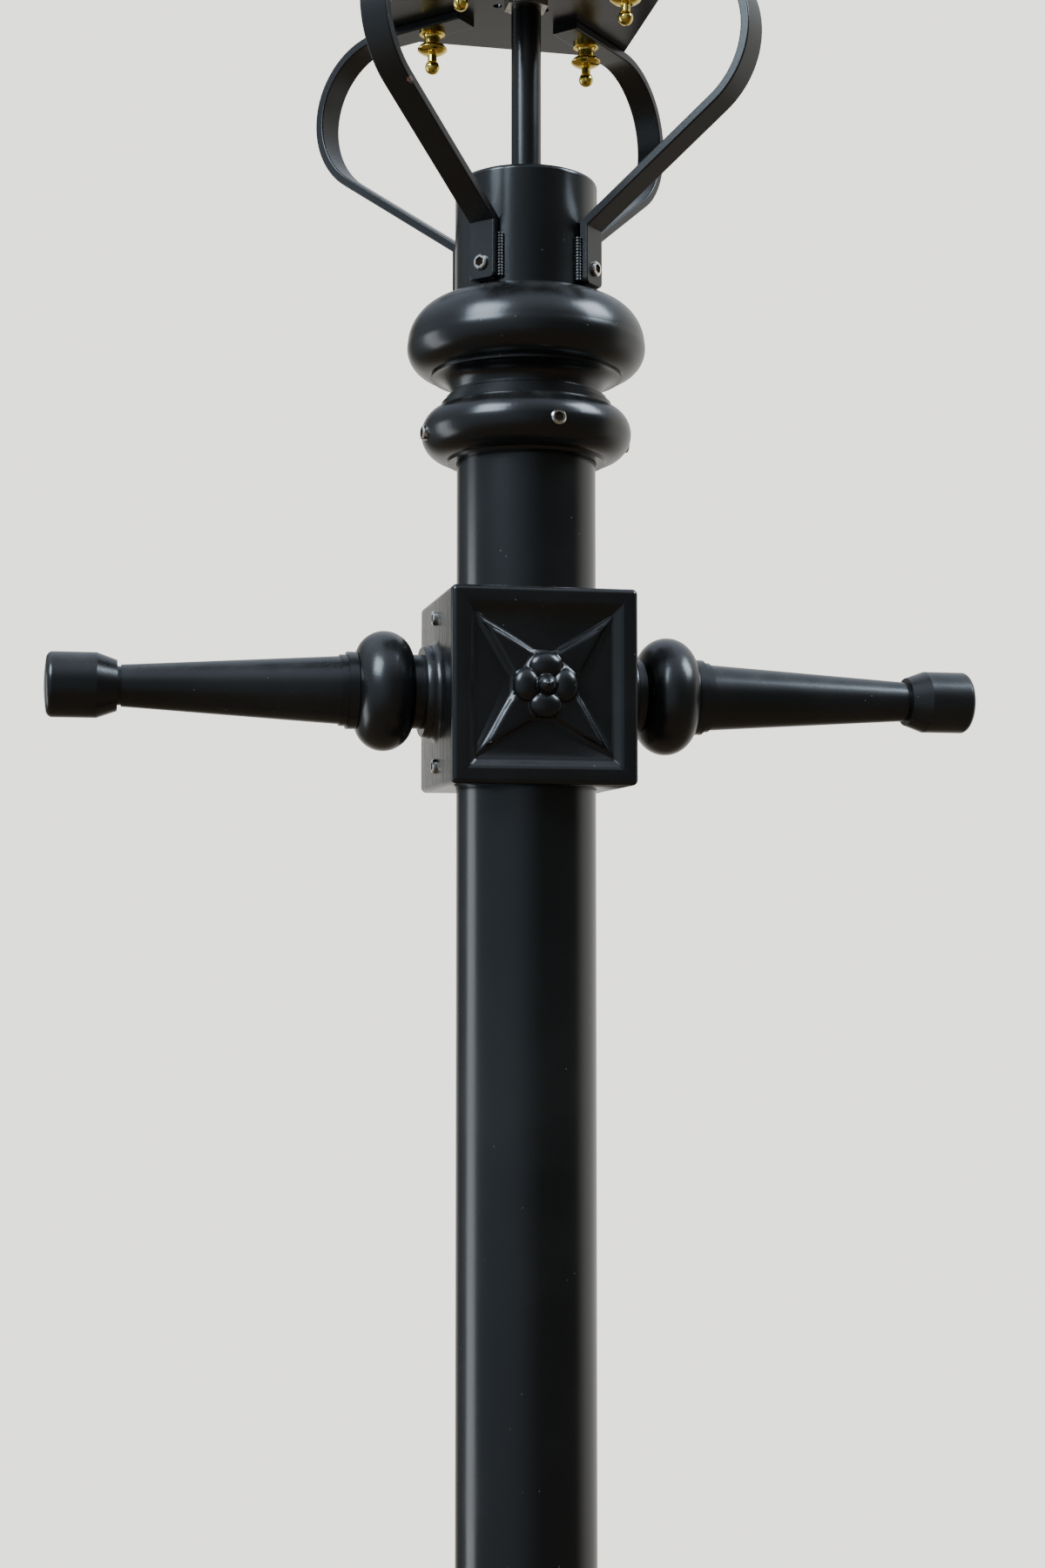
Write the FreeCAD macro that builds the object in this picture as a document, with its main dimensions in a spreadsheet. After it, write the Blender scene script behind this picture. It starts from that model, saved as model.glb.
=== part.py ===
"""Street lamp: a tubular post on a cast pedestal, with a ladder block and two ladder arms, a beaded collar,
a four-strap lantern bracket with brass drops, and a glazed four-sided lantern.

Frame: millimetres, +Z up, origin at the middle of the pedestal's underside. The ladder arms lie along X;
the block's star panel, the pedestal's door and the lantern's door face -Y.
"""

import FreeCAD, Part
import math
import os
import re
import Sketcher

# ---------------------------------------------------------------- sizes, in millimetres and degrees
SIZES = {
    # post and the M8 grub screws that clamp what is on it
    "tube_od": 76, "tube_wall": 3, "slip": 0.3, "screw_dia": 8, "screw_proud": 2, "screw_slip": 0.05,
    "socket_wide": 4.6, "socket_deep": 4, "screw_edge": 0.6, "screw_point": 1,
    # pedestal
    "foot_out": 46, "foot_thick": 14, "anchor_in": 30, "anchor_dia": 14, "cable_dia": 70,
    "plinth_out": 22, "plinth_tall": 46, "plinth_round": 12, "case_side": 164, "case_tall": 350, "case_wall": 9,
    "case_round": 4, "panel_border": 24, "panel_deep": 3, "corner_boss": 20, "corner_boss_tall": 50,
    "cap_out": 11, "cap_tall": 18, "cap_round": 7, "cap_bolt_dia": 8, "cap_bolt_long": 40, "cap_bolt_edge": 1,
    "cap_bolt_clear": 1, "cap_head_dia": 13, "cap_key": 6, "cap_key_deep": 4,
    "neck_wall": 14, "neck_tall": 96, "neck_foot": 20, "neck_sink": 1, "neck_lip": 3, "neck_cove": 6,
    "neck_swell": 4, "neck_list": 3, "neck_slope": 3, "neck_bead": 8, "neck_bead_tall": 24, "neck_bead_out": 3,
    "neck_bead_in": 2, "ledge_tall": 6, "ledge_lip": 6, "neck_screw_drop": 44,
    "hatch_wide": 96, "hatch_tall": 230, "hatch_up": 60, "hatch_lap": 8, "hatch_thick": 6, "hatch_gap": 0.4,
    "hatch_round": 1.5, "hatch_panel": 14, "hatch_panel_deep": 2, "hatch_pin_dia": 5, "hatch_pin_head_dia": 8,
    "hatch_pin_head_tall": 2, "hatch_barrel_dia": 11, "hatch_barrel_long": 20, "hatch_barrel_in": 34,
    "hatch_web_in": 2, "hatch_web_back": 1,
    "lock_in": 26, "lock_head_dia": 20, "lock_head_tall": 3, "lock_edge": 1, "lock_dia": 12, "lock_slip": 0.1,
    "cam_thick": 3, "cam_wide": 12, "cam_long": 27, "key_side": 7, "key_deep": 4,
    "board_wide": 76, "board_tall": 170, "board_thick": 6, "board_up": 110, "board_round": 3,
    "fuse_wide": 56, "fuse_tall": 100, "fuse_deep": 32, "fuse_down": 12, "fuse_wall": 6, "fuse_back": 8,
    "lid_deep": 6, "lid_round": 2, "gland_dia": 12, "gland_long": 10, "gland_drop": 14,
    "stud_out": 26, "stud_up": 40, "stud_washer": 2, "stud_nut_wide": 13, "stud_nut_tall": 6,
    # ladder block
    "block_level": 1650, "block_wall": 12, "block_tall": 104, "block_slip": 0.8, "block_round": 3,
    "relief_border": 9, "relief_deep": 3.2, "relief_slope": 4, "star_waist": 18, "star_bend": 12,
    "star_slant": 30, "star_root": 0.5, "star_tall": 2.6, "star_flank": 3, "petal_wide": 17.6, "petal_long": 14.4,
    "petal_ring": 10.2, "petal_tall": 4.2, "button_dia": 12, "button_tall": 8.6, "tip_dia": 4, "tip_tall": 10,
    "boss_dia": 50, "boss_long": 8, "boss_round": 4,
    "boss_edge": 1, "block_screw_pitch": 80,
    # ladder arms
    "arm_reach": 256.5, "arm_neck_dia": 40, "arm_neck_long": 5.5, "bead_dia": 64.6, "bead_long": 30,
    "bead_end_dia": 38, "ring_dia": 41.5, "ring_long": 5, "step_dia": 38.4, "step_long": 3.7, "taper_big": 36.6,
    "taper_small": 22.2, "groove_dia": 20.6, "groove_long": 2, "knob_root_dia": 27, "knob_cone": 10.5,
    "knob_dia": 34.5, "knob_long": 37.5, "knob_round": 4, "knob_dome": 1, "stud_dia": 12, "stud_long": 42,
    "stud_deep": 30, "stud_gap": 4, "stud_edge": 1,
    # collar
    "tube_show": 74, "collar_tall": 89, "collar_lip": 6, "lip_edge": 1, "lip_tall": 1.5, "low_bead_out": 19.4,
    "low_bead_tall": 30, "low_top_out": 9, "list_out": 8.5, "list_tall": 3, "list_slope": 0.4,
    "under_out": 6, "under_tall": 3, "waist_out": 3.4, "waist_tall": 2.5, "waist_rise": 0.8, "cove_out": 14,
    "cove_tall": 8.5, "cove_rise": 2.6, "cove_list": 1.5, "high_foot_out": 15.3, "high_bead_out": 27,
    "high_bead_up": 18, "high_bead_rise": 4.4, "high_top_out": 8.5, "high_top_rise": 4.6, "collar_screw_up": 14,
    "collar_screw_in": 0.3, "collar_turn": 5,
    # lantern bracket
    "sleeve_wall": 4, "sleeve_show": 66, "sleeve_sink": 31, "sleeve_round": 2.5, "sleeve_cap_thick": 6,
    "sleeve_cap_slip": 0.1, "sleeve_dome": 1.2, "spigot_wall": 4, "spigot_sink": 120,
    "strap_wide": 16, "strap_thick": 5, "strap_gap": 0.1, "strap_lift": 3.5, "strap_slant": 34,
    "strap_bend": 46.7, "strap_bend_at": 94.9, "strap_top": 172, "strap_end": 40, "strap_round": 0.8,
    "strap_corner": 3,
    "foot_screw_up": 9, "weld_leg": 3, "weld_long": 24, "weld_up": 1, "weld_thin": 0.4, "weld_gap": 0.05,
    "weld_toe": 0.3, "pipe_od": 16.5, "pipe_wall": 2, "pipe_slip": 0.5, "pipe_sink": 24, "pipe_up": 30,
    "pipe_nut_wide": 22, "pipe_nut_tall": 6,
    "drop_pitch": 90, "drop_screw_dia": 6, "drop_screw_up": 12, "drop_nut_wide": 10, "drop_nut_tall": 5,
    "flange_dia": 14.6, "flange_tall": 3.5, "flange_rise": 1.2, "flange_lip": 1, "drop_neck_dia": 9,
    "drop_neck_at": 7.5, "drop_neck_rise": 0.7, "disc_dia": 17.4, "disc_at": 10.2, "disc_end": 13,
    "disc_edge": 0.8, "disc_bulge": 0.6, "disc_rise": 0.6, "drop_stem_dia": 5.2, "drop_ball_dia": 8.2, "drop_long": 24.6,
    # lantern
    "plate_side": 145, "plate_thick": 3, "plate_round": 1, "drain_dia": 5, "drain_ring": 19, "glass_tall": 330,
    "top_side": 300, "bar_leg": 13, "bar_thick": 2, "rail_tall": 12, "rail_thick": 6, "rail_slip": 0.1,
    "pane_thick": 3, "pane_slip": 0.1, "pane_clear": 0.4,
    "door_gap": 0.4, "door_thick": 6, "door_inset": 1, "door_round": 1.5, "stile_wide": 26, "door_rail": 16,
    "rebate_deep": 3.4, "rebate_lap": 3, "glass_seat": 0.2,
    "barrel_dia": 9, "barrel_long": 16, "barrel_in": 50, "barrel_gap": 0.4, "barrel_web": 0.3, "hinge_web": 4,
    "pin_dia": 4, "pin_slip": 0.05, "pin_over": 0.3, "pin_head_dia": 7, "pin_head_tall": 2,
    "latch_at": 19, "latch_shaft_dia": 6, "latch_slip": 0.1, "latch_knob_dia": 14, "latch_knob_tall": 7,
    "latch_rose": 1.6, "latch_edge": 1, "latch_grip": 3, "latch_grip_in": 3, "latch_blade_wide": 8,
    "latch_blade_long": 11, "latch_blade_thick": 2.5, "latch_blade_rise": 2.4, "latch_clear": 0.5,
    "eave_out": 26, "eave_tall": 12, "eave_round": 5, "roof_tall": 104, "roof_step": 10, "roof_wall": 2.5,
    "roof_lap": 0.2, "seat_slip": 0.5,
    "vent_side": 92, "vent_tall": 40, "vent_wall": 3, "vent_hole": 10, "vent_pitch": 18,
    "crown_out": 25, "crown_lip": 5, "crown_round": 1.5, "crown_step": 2, "crown_tall": 48, "crown_top": 34,
    "spire_dia": 34, "spire_edge": 2, "spire_slope": 3, "spire_foot": 6, "spire_neck_dia": 12,
    "spire_neck_up": 12, "spire_neck_rise": 2, "spire_neck_end": 16, "spire_bead": 26, "spire_bead_up": 24,
    "spire_bead_rise": 2, "spire_waist_dia": 10, "spire_waist_up": 33, "spire_bell_rise": 4,
    "spire_stem_dia": 7, "spire_stem_up": 44, "spire_stem_rise": 1, "spire_tall": 78, "spire_ball": 16,
    "spire_ball_down": 22, "spire_tip_dia": 6, "spire_tip": 12, "spire_tip_rise": 2.4,
    "reflector_thick": 2, "reflector_hole": 80,
    "holder_dia": 34, "holder_tall": 46, "holder_lip": 39, "holder_lip_tall": 5, "holder_lip_slope": 3,
    "holder_edge": 2, "holder_gap": 1, "lamp_cap_dia": 26, "lamp_cap_tall": 14, "lamp_cap_slip": 0.1,
    "lamp_cap_edge": 1, "lamp_cap_flare": 0.4, "lamp_cap_proud": 2, "globe_dia": 64, "globe_tall": 112,
    "globe_neck": 30, "globe_wall": 1.5,
}

doc = FreeCAD.newDocument("StreetLamp")
sheet = doc.addObject("Spreadsheet::Sheet", "Sizes")
for row, (alias, value) in enumerate(SIZES.items(), 1):
    sheet.set("A%d" % row, alias)
    sheet.set("B%d" % row, str(value))
    sheet.setAlias("B%d" % row, alias)
doc.recompute()

Vector = FreeCAD.Vector
Rotation = FreeCAD.Rotation
Placement = FreeCAD.Placement
UP = Vector(0, 0, 1)
HOME = Placement()
nodes = {}


# ---------------------------------------------------------------- helpers
def linked(text):
    """An expression of bare size names, as the document wants it."""
    def alias(found):
        name = found.group()
        return "Sizes." + name if name in SIZES else name

    return re.sub(r"[a-z][a-z_]*", alias, str(text))


def mm(text):
    """The number that an expression of size names stands for."""
    return float(sheet.evalExpression(linked(text)))


def new_body(label, place=HOME, keep=True):
    body = doc.addObject("PartDesign::Body", label)
    body.Label = label
    body.AllowCompound = True
    body.Placement = place
    if keep:
        nodes[label] = body
    return body


def datum(body, role):
    return next(o for o in body.Origin.OriginFeatures if o.Role == role)


def pin_point(sketch, side, end, across, up):
    """Binds one end of a sketch edge to its place."""
    for kind, text, axis in (("DistanceX", across, -2), ("DistanceY", up, -1)):
        if text == "0":
            sketch.addConstraint(Sketcher.Constraint("PointOnObject", side, end, axis))
        else:
            at = sketch.addConstraint(Sketcher.Constraint(kind, side, end, mm(text)))
            sketch.setExpression("Constraints[%d]" % at, linked(text))


def outline(body, role, path, lift="0", shift=("0", "0")):
    """A closed, bound sketch on an origin plane. A corner is (across, up), or (across, up, rise) where an arc
    ends there that bulges by rise to the left of the way of travel."""
    sketch = body.newObject("Sketcher::SketchObject", "outline")
    sketch.AttachmentSupport = [(datum(body, role), "")]
    sketch.MapMode = "FlatFace"
    for axis, text in zip("xyz", (*shift, lift)):
        sketch.setExpression("AttachmentOffset.Base." + axis, linked(text))
    points = [Vector(mm(corner[0]), mm(corner[1]), 0) for corner in path]
    joins = []
    for i, corner in enumerate(path):
        start, a, b = path[i - 1], points[i - 1], points[i]
        first, last = 1, 2
        if len(corner) == 2:
            side = sketch.addGeometry(Part.LineSegment(a, b), False)
        else:
            left = Vector(a.y - b.y, b.x - a.x, 0).normalize()
            side = sketch.addGeometry(Part.Arc(a, (a + b) / 2 + left * mm(corner[2]), b), False)
            if sketch.getPoint(side, 1).distanceToPoint(a) > sketch.getPoint(side, 1).distanceToPoint(b):
                first, last = 2, 1
            chord = "(((%s) - (%s))^2 + ((%s) - (%s))^2)" % (corner[0], start[0], corner[1], start[1])
            radius = "(%s / 4 + (%s)^2) / (2 * abs(%s))" % (chord, corner[2], corner[2])
            at = sketch.addConstraint(Sketcher.Constraint("Radius", side, mm(radius)))
            sketch.setExpression("Constraints[%d]" % at, linked(radius))
        pin_point(sketch, side, last, corner[0], corner[1])
        joins.append((side, first, last))
    for i, (side, first, last) in enumerate(joins):
        sketch.addConstraint(Sketcher.Constraint("Coincident", joins[i - 1][0], joins[i - 1][2], side, first))
    return sketch


def turn(body, path, axis="V_Axis", shift=("0", "0"), cut=False):
    """Revolves an outline on the XZ plane about the upright or the level axis through the shifted origin."""
    sketch = outline(body, "XZ_Plane", path, shift=shift)
    made = body.newObject("PartDesign::Groove" if cut else "PartDesign::Revolution", "turned")
    made.Profile = sketch
    made.ReferenceAxis = (sketch, [axis])
    made.Angle = 360
    return made


def pad(body, path, length, lift="0", role="XY_Plane", cut=False, middle=False, shift=("0", "0")):
    """Pads an outline away from its plane, or pockets it back towards the plane's underside."""
    sketch = outline(body, role, path, lift, shift)
    made = body.newObject("PartDesign::Pocket" if cut else "PartDesign::Pad", "padded")
    made.Profile = sketch
    made.setExpression("Length", linked(length))
    made.Midplane = middle
    return made


def loft(body, levels, role="XY_Plane", cut=False):
    """A ruled loft through (outline, lift) levels."""
    sketches = [outline(body, role, path, lift) for path, lift in levels]
    made = body.newObject("PartDesign::SubtractiveLoft" if cut else "PartDesign::AdditiveLoft", "lofted")
    made.Profile = sketches[0]
    made.Sections = sketches[1:]
    made.Ruled = True
    return made


def oblong(left, low, right, high):
    return [(left, low), (right, low), (right, high), (left, high)]


def square(half):
    return oblong("-(%s)" % half, "-(%s)" % half, half, half)


def rod(body, dia, length, at, way=UP, cut=False):
    """A cylinder that starts at a point, given in expressions, and runs along a direction."""
    made = body.newObject("PartDesign::SubtractiveCylinder" if cut else "PartDesign::AdditiveCylinder", "rod")
    made.Placement = Placement(Vector(*[mm(c) for c in at]), Rotation(UP, Vector(*way)))
    made.setExpression("Radius", linked("(%s) / 2" % dia))
    made.setExpression("Height", linked(length))
    return made


def block(body, sides, at, cut=False):
    """A box given by its three sides and its lowest corner."""
    made = body.newObject("PartDesign::SubtractiveBox" if cut else "PartDesign::AdditiveBox", "block")
    made.Placement = Placement(Vector(*[mm(c) for c in at]), Rotation())
    for name, text in zip(("Length", "Width", "Height"), sides):
        made.setExpression(name, linked(text))
    return made


def around(body, features, count=4):
    """Repeats features evenly about the body's Z axis."""
    doc.recompute()
    made = body.newObject("PartDesign::PolarPattern", "around")
    made.Originals = features
    made.Axis = (datum(body, "Z_Axis"), [""])
    made.Angle = 360
    made.Occurrences = count
    body.Tip = made
    return made


def soften(body, radius, wanted):
    """Rounds the edges of the body's tip that a test on the edge picks."""
    doc.recompute()
    tip = body.Tip
    made = body.newObject("PartDesign::Fillet", "softened")
    made.Base = (tip, ["Edge%d" % i for i, edge in enumerate(tip.Shape.Edges, 1) if wanted(edge)])
    made.setExpression("Radius", linked(radius))
    return made


def dome_rise(radius, height):
    """How far the side view of a domed cap, a part of a ball centred on the axis, bulges from its chord."""
    ball = "(((%s)^2 + (%s)^2) / (2 * (%s)))" % (radius, height, height)
    return "(%s - sqrt(%s^2 - ((%s)^2 + (%s)^2) / 4))" % (ball, ball, radius, height)


def near(value, text):
    return abs(value - mm(text)) < 0.01


def straight(edge):
    return not edge.Degenerated and edge.Curve.TypeId == "Part::GeomLine"


def upright(edge):
    return straight(edge) and abs(edge.Curve.Direction.z) > 0.99


def level_at(edge, text):
    """True for an edge that lies wholly at a height."""
    return near(edge.BoundBox.ZMin, text) and near(edge.BoundBox.ZMax, text)


def turned(label, path, place=HOME):
    """A body of one revolved outline."""
    body = new_body(label, place)
    turn(body, path)
    return body


def hexagon(wide):
    """The corners of a hexagon that is this wide over its flats."""
    return [("(%s) / 2 / cos(30) * cos(%d)" % (wide, a), "(%s) / 2 / cos(30) * sin(%d)" % (wide, a))
            for a in range(30, 390, 60)]


def lifted(text):
    return Placement(Vector(0, 0, mm(text)), Rotation())


def spun(angle):
    return Placement(Vector(), Rotation(UP, angle))


CORNERS = {"front_left": 225, "front_right": 315, "rear_right": 45, "rear_left": 135}

# ---------------------------------------------------------------- levels and radii that pieces share
CASE_FOOT = "foot_thick + plinth_tall"
CASE_TOP = "(foot_thick + plinth_tall + case_tall)"
CAP_TOP = CASE_TOP + " + cap_tall"
TUBE_FOOT = CASE_TOP + " + ledge_tall"
BLOCK_TOP = "block_level + block_tall / 2"
COLLAR_FOOT = "(block_level + block_tall / 2 + tube_show)"
COLLAR_TOP = COLLAR_FOOT + " + collar_tall"
SLEEVE_FOOT = COLLAR_TOP + " - sleeve_sink"
SLEEVE_TOP = COLLAR_TOP + " + sleeve_show"
PLATE_UNDER = COLLAR_TOP + " + strap_top"
PLATE_TOP = PLATE_UNDER + " + plate_thick"
ROOF_FOOT = PLATE_TOP + " + glass_tall"
ROOF_TOP = ROOF_FOOT + " + eave_tall + roof_tall"
VENT_TOP = ROOF_TOP + " + vent_tall"
CROWN_TOP = VENT_TOP + " + crown_lip + crown_tall"
TUBE_R = "tube_od / 2"
TUBE_BORE = "(tube_od / 2 - tube_wall)"
TUBE_HOLE = "(tube_od / 2 + slip)"
SCREW_HOLE = "screw_dia + 2 * screw_slip"
SLEEVE_R = "(tube_od / 2 - tube_wall + sleeve_wall)"
HALF_BLOCK = "(tube_od / 2 + block_wall)"
HALF_CASE = "(case_side / 2)"
HALF_PLINTH = "(case_side / 2 + plinth_out)"
HALF_FOOT = "(case_side / 2 + plinth_out + foot_out)"
HALF_CAP = "(case_side / 2 + cap_out)"
NECK_R = "(tube_od / 2 + neck_wall)"
HALF_EAVE = "(top_side / 2 + eave_out)"
HALF_ROOF_TOP = "(vent_side / 2 + roof_step)"
HALF_CROWN = "(vent_side / 2 + crown_out)"
LOW_BEAD_R = "(tube_od / 2 + low_bead_out)"


def grub_screws(label, inner, outer, heights, count, place=HOME):
    """Socket set screws that point at the axis, from a radius in to a radius out, at each height."""
    body = new_body(label, place)
    made = []
    side = "screw_dia / 2"
    path = [(inner, "0"), (outer, "0"), (outer, side + " - screw_edge"), ("(%s) - screw_edge" % outer, side),
            ("(%s) + screw_point" % inner, side), (inner, side + " - screw_point")]
    for height in heights:
        made.append(turn(body, path, "H_Axis", shift=("0", height)))
        made.append(pad(body, hexagon("socket_wide"), "socket_deep", outer, "YZ_Plane", cut=True,
                        shift=("0", height)))
    around(body, made, count)
    return body


def screw_holes(body, heights, reach, count, dia=SCREW_HOLE):
    """Threaded holes for those screws, from the axis out."""
    holes = [rod(body, dia, reach, ("0", "0", height), (1, 0, 0), cut=True) for height in heights]
    return around(body, holes, count)


# ---------------------------------------------------------------- pedestal
CAP_BOLT = "(case_side / 2 - case_wall - corner_boss / 2)"
HATCH_FOOT = CASE_FOOT + " + hatch_up"
HATCH_HINGE_X = "-(hatch_wide / 2 + hatch_barrel_dia / 2 + hatch_gap)"
HATCH_HINGE_Y = "-(case_side / 2 + hatch_gap + hatch_barrel_dia / 2)"
HATCH_BARRELS = (HATCH_FOOT + " + hatch_barrel_in", HATCH_FOOT + " + hatch_tall - hatch_barrel_in")


def pedestal_case():
    body = new_body("pedestal_case")
    pad(body, square(HALF_FOOT), "foot_thick")
    pad(body, square(HALF_PLINTH), "plinth_tall", "foot_thick")
    soften(body, "plinth_round", lambda e: level_at(e, CASE_FOOT))
    pad(body, square(HALF_CASE), "case_tall", CASE_FOOT)
    soften(body, "case_round", upright)
    pad(body, square("case_side / 2 - case_wall"), "plinth_tall + case_tall", CASE_TOP, cut=True)
    inner = "case_side / 2 - case_wall - corner_boss"
    boss_foot = CASE_TOP + " - corner_boss_tall"
    boss_side = "corner_boss + case_wall / 2"
    corner = block(body, [boss_side, boss_side, "corner_boss_tall"], (inner, inner, boss_foot))
    foot = (CAP_BOLT, CAP_BOLT, boss_foot)
    thread = rod(body, "cap_bolt_dia + 2 * screw_slip", "corner_boss_tall", foot, cut=True)
    around(body, [corner, thread])
    half = "(case_side / 2 - panel_border)"
    panel = oblong("-" + half, CASE_FOOT + " + panel_border", half, CASE_TOP + " - panel_border")
    recess = pad(body, panel, "panel_deep", HALF_CASE, "YZ_Plane", cut=True)
    pad(body, panel, "panel_deep", "-case_side / 2 + panel_deep", "XZ_Plane", cut=True)
    around(body, [recess], 2)
    half = "(hatch_wide / 2 - hatch_lap)"
    doorway = oblong("-" + half, HATCH_FOOT + " + hatch_lap", half, HATCH_FOOT + " + hatch_tall - hatch_lap")
    pad(body, doorway, "2 * case_wall", HALF_CASE, "XZ_Plane", cut=True)
    corner = HALF_FOOT + " - anchor_in"
    anchor = rod(body, "anchor_dia", "foot_thick", (corner, corner, "0"), cut=True)
    around(body, [anchor])
    rod(body, "cable_dia", "foot_thick", ("0", "0", "0"), cut=True)
    for foot in HATCH_BARRELS:
        knuckle(body, HATCH_HINGE_X, HATCH_HINGE_Y, foot + " - hatch_barrel_long - hatch_gap / 2")
    return body


def knuckle(body, across, out, foot, to_door=False):
    """One half of a lift-off hinge, with a web to the case or to the door beside it."""
    rod(body, "hatch_barrel_dia", "hatch_barrel_long", (across, out, foot))
    if to_door:
        block(body, ["hatch_barrel_dia / 2 + hatch_gap + hatch_web_in", "hatch_thick", "hatch_barrel_long"],
              (across, "-(case_side / 2 + hatch_gap + hatch_thick)", foot))
    else:
        depth = "hatch_barrel_dia / 2 + hatch_gap + hatch_web_back"
        block(body, ["hatch_barrel_dia / 2", depth, "hatch_barrel_long"],
              ("%s - hatch_barrel_dia / 2" % across, out, foot))
    rod(body, "hatch_pin_dia + 2 * pin_slip", "hatch_barrel_long", (across, out, foot), cut=True)


def pedestal_pieces():
    cap = new_body("pedestal_cap")
    pad(cap, square(HALF_CAP), "cap_tall", CASE_TOP)
    soften(cap, "cap_round", lambda e: level_at(e, CAP_TOP))
    base = "(%s - 2 * cap_round)" % HALF_CAP
    bore = "%s / 2" % TUBE_HOLE
    swell = NECK_R + " + neck_swell"
    bead = NECK_R + " + neck_bead_out"
    bead_foot = "neck_tall - neck_bead_tall"
    turn(cap, [(bore, "-neck_sink"), (base, "-neck_sink"), (base, "neck_lip"),
               (swell, "neck_foot", "neck_cove"),
               (swell, "neck_foot + neck_list"), (NECK_R, "neck_foot + neck_list + neck_slope"),
               (NECK_R, bead_foot + " - neck_list - neck_slope"), (bead, bead_foot + " - neck_list"),
               (bead, bead_foot), (NECK_R + " - neck_bead_in", "neck_tall", "-neck_bead"), (bore, "neck_tall")],
         shift=("0", CAP_TOP))
    rod(cap, "2 * " + TUBE_HOLE, "cap_tall + neck_tall", ("0", "0", TUBE_FOOT), cut=True)
    rod(cap, "tube_od - 2 * ledge_lip", "cap_tall + neck_tall", ("0", "0", CASE_TOP), cut=True)
    clear = rod(cap, "cap_bolt_dia + cap_bolt_clear", "cap_tall", (CAP_BOLT, CAP_BOLT, CASE_TOP), cut=True)
    around(cap, [clear])
    screw_holes(cap, [CAP_TOP + " + neck_screw_drop"], "2 * " + NECK_R, 3)

    bolts = new_body("pedestal_cap_bolts", spun(45))
    stem, head = "cap_bolt_dia / 2", "cap_head_dia / 2"
    radial = CAP_BOLT + " * sqrt(2)"
    bolt = turn(bolts, [("0", "-cap_bolt_long"), (stem, "-cap_bolt_long"), (stem, "0"), (head, "0"),
                        (head, "cap_bolt_dia - cap_bolt_edge"), (head + " - cap_bolt_edge", "cap_bolt_dia"),
                        ("0", "cap_bolt_dia")], shift=(radial, CAP_TOP))
    head_top = CAP_TOP + " + cap_bolt_dia"
    key = pad(bolts, hexagon("cap_key"), "cap_key_deep", head_top, cut=True, shift=(radial, "0"))
    around(bolts, [bolt, key])
    grub_screws("pedestal_neck_screws", "tube_od / 2 + screw_slip", NECK_R + " + screw_proud",
                [CAP_TOP + " + neck_screw_drop"], 3)


def hatch_pieces():
    """The pedestal's door, its pins and its quarter-turn lock."""
    door = new_body("access_door")
    face = "(case_side / 2 + hatch_gap + hatch_thick)"
    pad(door, oblong("-hatch_wide / 2", HATCH_FOOT, "hatch_wide / 2", HATCH_FOOT + " + hatch_tall"),
        "hatch_thick", "case_side / 2 + hatch_gap", "XZ_Plane")
    soften(door, "hatch_round", lambda e: near(e.BoundBox.YMin, "-" + face) and near(e.BoundBox.YMax, "-" + face))
    half = "(hatch_wide / 2 - hatch_panel)"
    panel = oblong("-" + half, HATCH_FOOT + " + hatch_panel", half, HATCH_FOOT + " + hatch_tall - hatch_panel")
    pad(door, panel, "hatch_panel_deep", face, "XZ_Plane", cut=True)
    for foot in HATCH_BARRELS:
        knuckle(door, HATCH_HINGE_X, HATCH_HINGE_Y, foot + " + hatch_gap / 2", to_door=True)
    lock_x = "(hatch_wide / 2 - lock_in)"
    lock_z = HATCH_FOOT + " + hatch_tall / 2"
    start = (lock_x, "-case_side / 2", lock_z)
    rod(door, "lock_dia + 2 * lock_slip", "3 * hatch_thick", start, (0, -1, 0), cut=True)

    pins = new_body("access_door_hinge_pins")
    for foot in HATCH_BARRELS:
        low = foot + " - hatch_barrel_long - hatch_gap / 2"
        head = low + " - hatch_pin_head_tall"
        rod(pins, "hatch_pin_dia", "2 * hatch_barrel_long + hatch_gap", (HATCH_HINGE_X, HATCH_HINGE_Y, low))
        rod(pins, "hatch_pin_head_dia", "hatch_pin_head_tall", (HATCH_HINGE_X, HATCH_HINGE_Y, head))

    at = Placement(Vector(mm(lock_x), 0, mm(lock_z)), Rotation(Vector(1, 0, 0), 90))
    lock = new_body("access_door_lock", at)
    seat = "(%s - hatch_panel_deep + lock_slip)" % face
    top = "(%s - hatch_panel_deep + lock_head_tall)" % face
    cam = "(case_side / 2 - case_wall - hatch_gap - cam_thick)"
    turn(lock, [("0", cam), ("lock_dia / 2", cam), ("lock_dia / 2", seat), ("lock_head_dia / 2", seat),
                ("lock_head_dia / 2", top + " - lock_edge"), ("lock_head_dia / 2 - lock_edge", top), ("0", top)])
    pad(lock, oblong("-cam_wide / 2", "-cam_wide / 2", "cam_wide / 2", "cam_long"), "cam_thick", cam)
    pad(lock, [("-key_side / 2", "-key_side / 3"), ("key_side / 2", "-key_side / 3"), ("0", "key_side / 2")],
        "key_deep", top, cut=True)


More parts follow.
